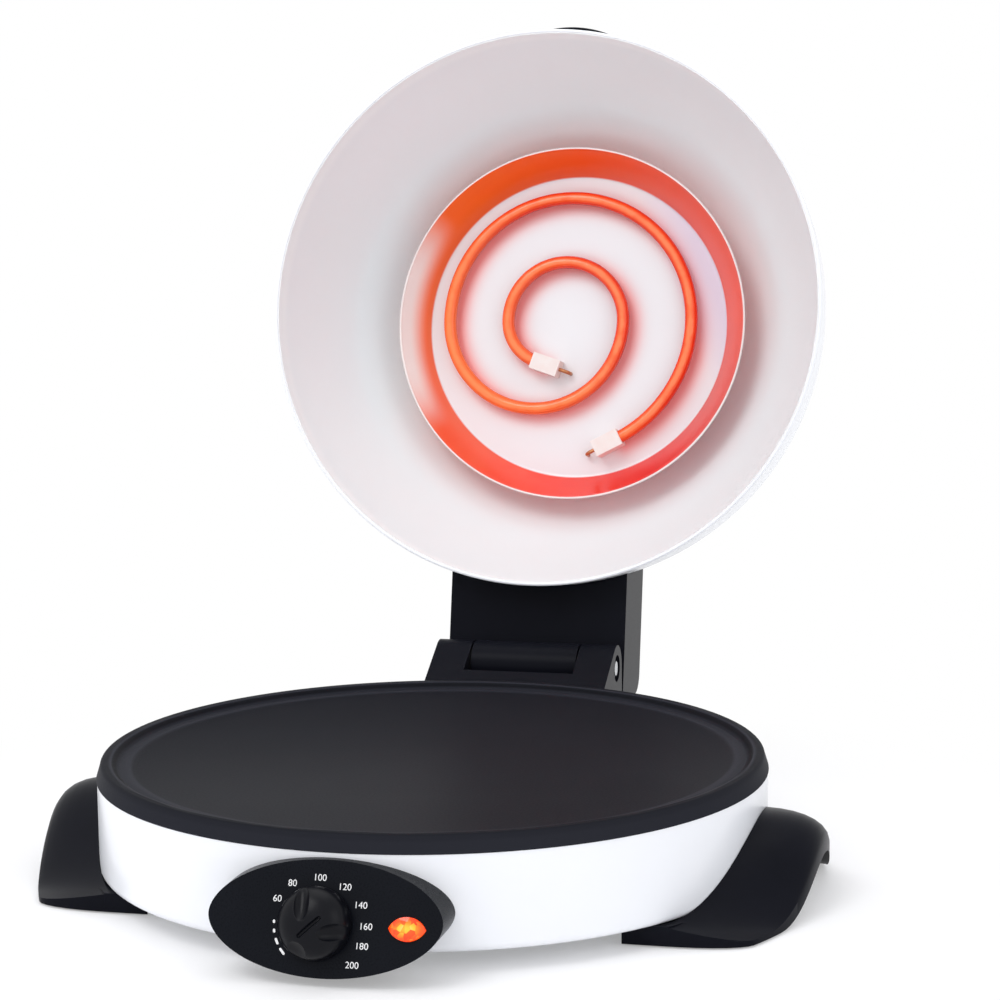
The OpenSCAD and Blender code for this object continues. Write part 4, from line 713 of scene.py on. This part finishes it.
def camera():
    """The photograph's view: heading, pitch and roll make the camera's right, up and back axes."""
    level = Vector((math.cos(HEADING), math.sin(HEADING), 0.0))
    forward = Vector((-math.sin(HEADING) * math.cos(PITCH),
                      math.cos(HEADING) * math.cos(PITCH),
                      -math.sin(PITCH)))
    upright = level.cross(forward)
    right = math.cos(ROLL) * level + math.sin(ROLL) * upright
    up = -math.sin(ROLL) * level + math.cos(ROLL) * upright
    data = bpy.data.cameras.new("camera")
    data.lens = LENS
    data.sensor_width = 36
    data.clip_start, data.clip_end = 0.05, 20
    eye = bpy.data.objects.new("camera", data)
    bpy.context.collection.objects.link(eye)
    eye.matrix_world = Matrix.Translation(EYE) @ Matrix((right, up, -forward)).transposed().to_4x4()
    bpy.context.scene.camera = eye


def seen_white(tree):
    """The rays that see white surroundings, as 1: camera rays, and those of gloss and glass."""
    ray = tree.nodes.new("ShaderNodeLightPath")
    gloss = add(tree, "ShaderNodeMath", {
        0: (ray, "Is Glossy Ray"), 1: (ray, "Is Transmission Ray")}, operation="MAXIMUM")
    seen = add(tree, "ShaderNodeMath", {
        0: (ray, "Is Camera Ray"), 1: (gloss, "Value")}, operation="MAXIMUM")
    return seen, "Value"


def surroundings():
    """White world for camera, gloss and glass, and a soft, slightly cool one for the light it gives."""
    world = bpy.data.worlds.new("studio")
    bpy.context.scene.world = world
    world.use_nodes = True
    tree = world.node_tree
    tree.nodes.clear()
    soft = add(tree, "ShaderNodeBackground", {"Color": linear("f6f7fb"), "Strength": 0.9})
    white = add(tree, "ShaderNodeBackground", {"Color": (1.0, 1.0, 1.0, 1.0), "Strength": 1.0})
    mix = add(tree, "ShaderNodeMixShader", {
        0: seen_white(tree), 1: (soft, "Background"), 2: (white, "Background")})
    add(tree, "ShaderNodeOutputWorld", {"Surface": (mix, "Shader")})


def paper_floor():
    """White paper floor: shaded near the object, and plain white farther out for camera, gloss and glass."""
    material, tree, where = new_material("white_paper_floor")
    far = add(tree, "ShaderNodeVectorMath", {0: where}, operation="LENGTH")
    melt = add(tree, "ShaderNodeMapRange", {
        "Value": (far, "Value"), "From Min": FLOOR_SHADED, "From Max": FLOOR_WHITE,
        "To Min": 0.28, "To Max": 1.0},
        interpolation_type="SMOOTHSTEP")
    share = add(tree, "ShaderNodeMath", {0: seen_white(tree), 1: (melt, "Result")}, operation="MULTIPLY")
    fibre = add(tree, "ShaderNodeTexNoise", {"Vector": where, "Scale": 1 / (4 * MM), "Detail": 3.0})
    bump = add(tree, "ShaderNodeBump", {"Height": (fibre, "Fac"), "Strength": 1.0, "Distance": 0.02 * MM})
    paper = add(tree, "ShaderNodeBsdfDiffuse", {"Color": (0.93, 0.93, 0.94, 1.0), "Normal": (bump, "Normal")})
    white = add(tree, "ShaderNodeEmission", {"Color": (1.0, 1.0, 1.0, 1.0), "Strength": 1.0})
    mix = add(tree, "ShaderNodeMixShader", {0: (share, "Value"), 1: (paper, "BSDF"), 2: (white, "Emission")})
    add(tree, "ShaderNodeOutputMaterial", {"Surface": (mix, "Shader")})
    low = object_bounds()[0][2]
    corners = [(x * FLOOR_HALF, y * FLOOR_HALF, low) for x, y in ((-1, -1), (1, -1), (1, 1), (-1, 1))]
    mesh = bpy.data.meshes.new("floor")
    mesh.from_pydata(corners, [], [(0, 1, 2, 3)])
    mesh.materials.append(material)
    piece = bpy.data.objects.new("floor", mesh)
    bpy.context.collection.objects.link(piece)


def lamp(name, place, target, size, power):
    """A square soft box at a place, facing a target."""
    data = bpy.data.lights.new(name, "AREA")
    data.shape = "SQUARE"
    data.size = size
    data.energy = power
    obj = bpy.data.objects.new(name, data)
    bpy.context.collection.objects.link(obj)
    obj.location = place
    obj.rotation_euler = (Vector(target) - Vector(place)).to_track_quat("-Z", "Y").to_euler()


camera()
for node, obj in frame["nodes"].items():
    obj.data.materials.clear()
    obj.data.materials.append(FINISH[SLOT[node]])
    obj.data.polygons.foreach_set("material_index", np.zeros(len(obj.data.polygons), dtype=np.int32))

# Turned and pressed sheet, and the knob, as fine surfaces in their nodes' places
stand_in(bowl(), "lid_liner", 60)
stand_in(lid_shell(), "lid_shell", 60)
stand_in(pan(), "reflector_pan", 40)
stand_in(knob(), "control_knob", 60)

# Moulded and cast pieces: the node's own solid with smooth faces and fine rounded edges
for node, edge in (("control_panel", 1.2), ("hinge_tower", 1.4), ("lid_arm", 1.2), ("lid_handle", 1.0),
                   ("cooking_plate", 0.5), ("base_shell", 0.5), ("left_handle", 1.0), ("right_handle", 1.0),
                   ("upper_heater", 0.0), ("lamp_lens", 0.3), ("ceramic_ends", 0.6)):
    refined(node, 180.0 if edge else 50.0, edge)

dial_print()
bpy.context.scene.view_settings.view_transform = "Standard"
surroundings()
paper_floor()
for row in LAMPS:
    lamp(*row)
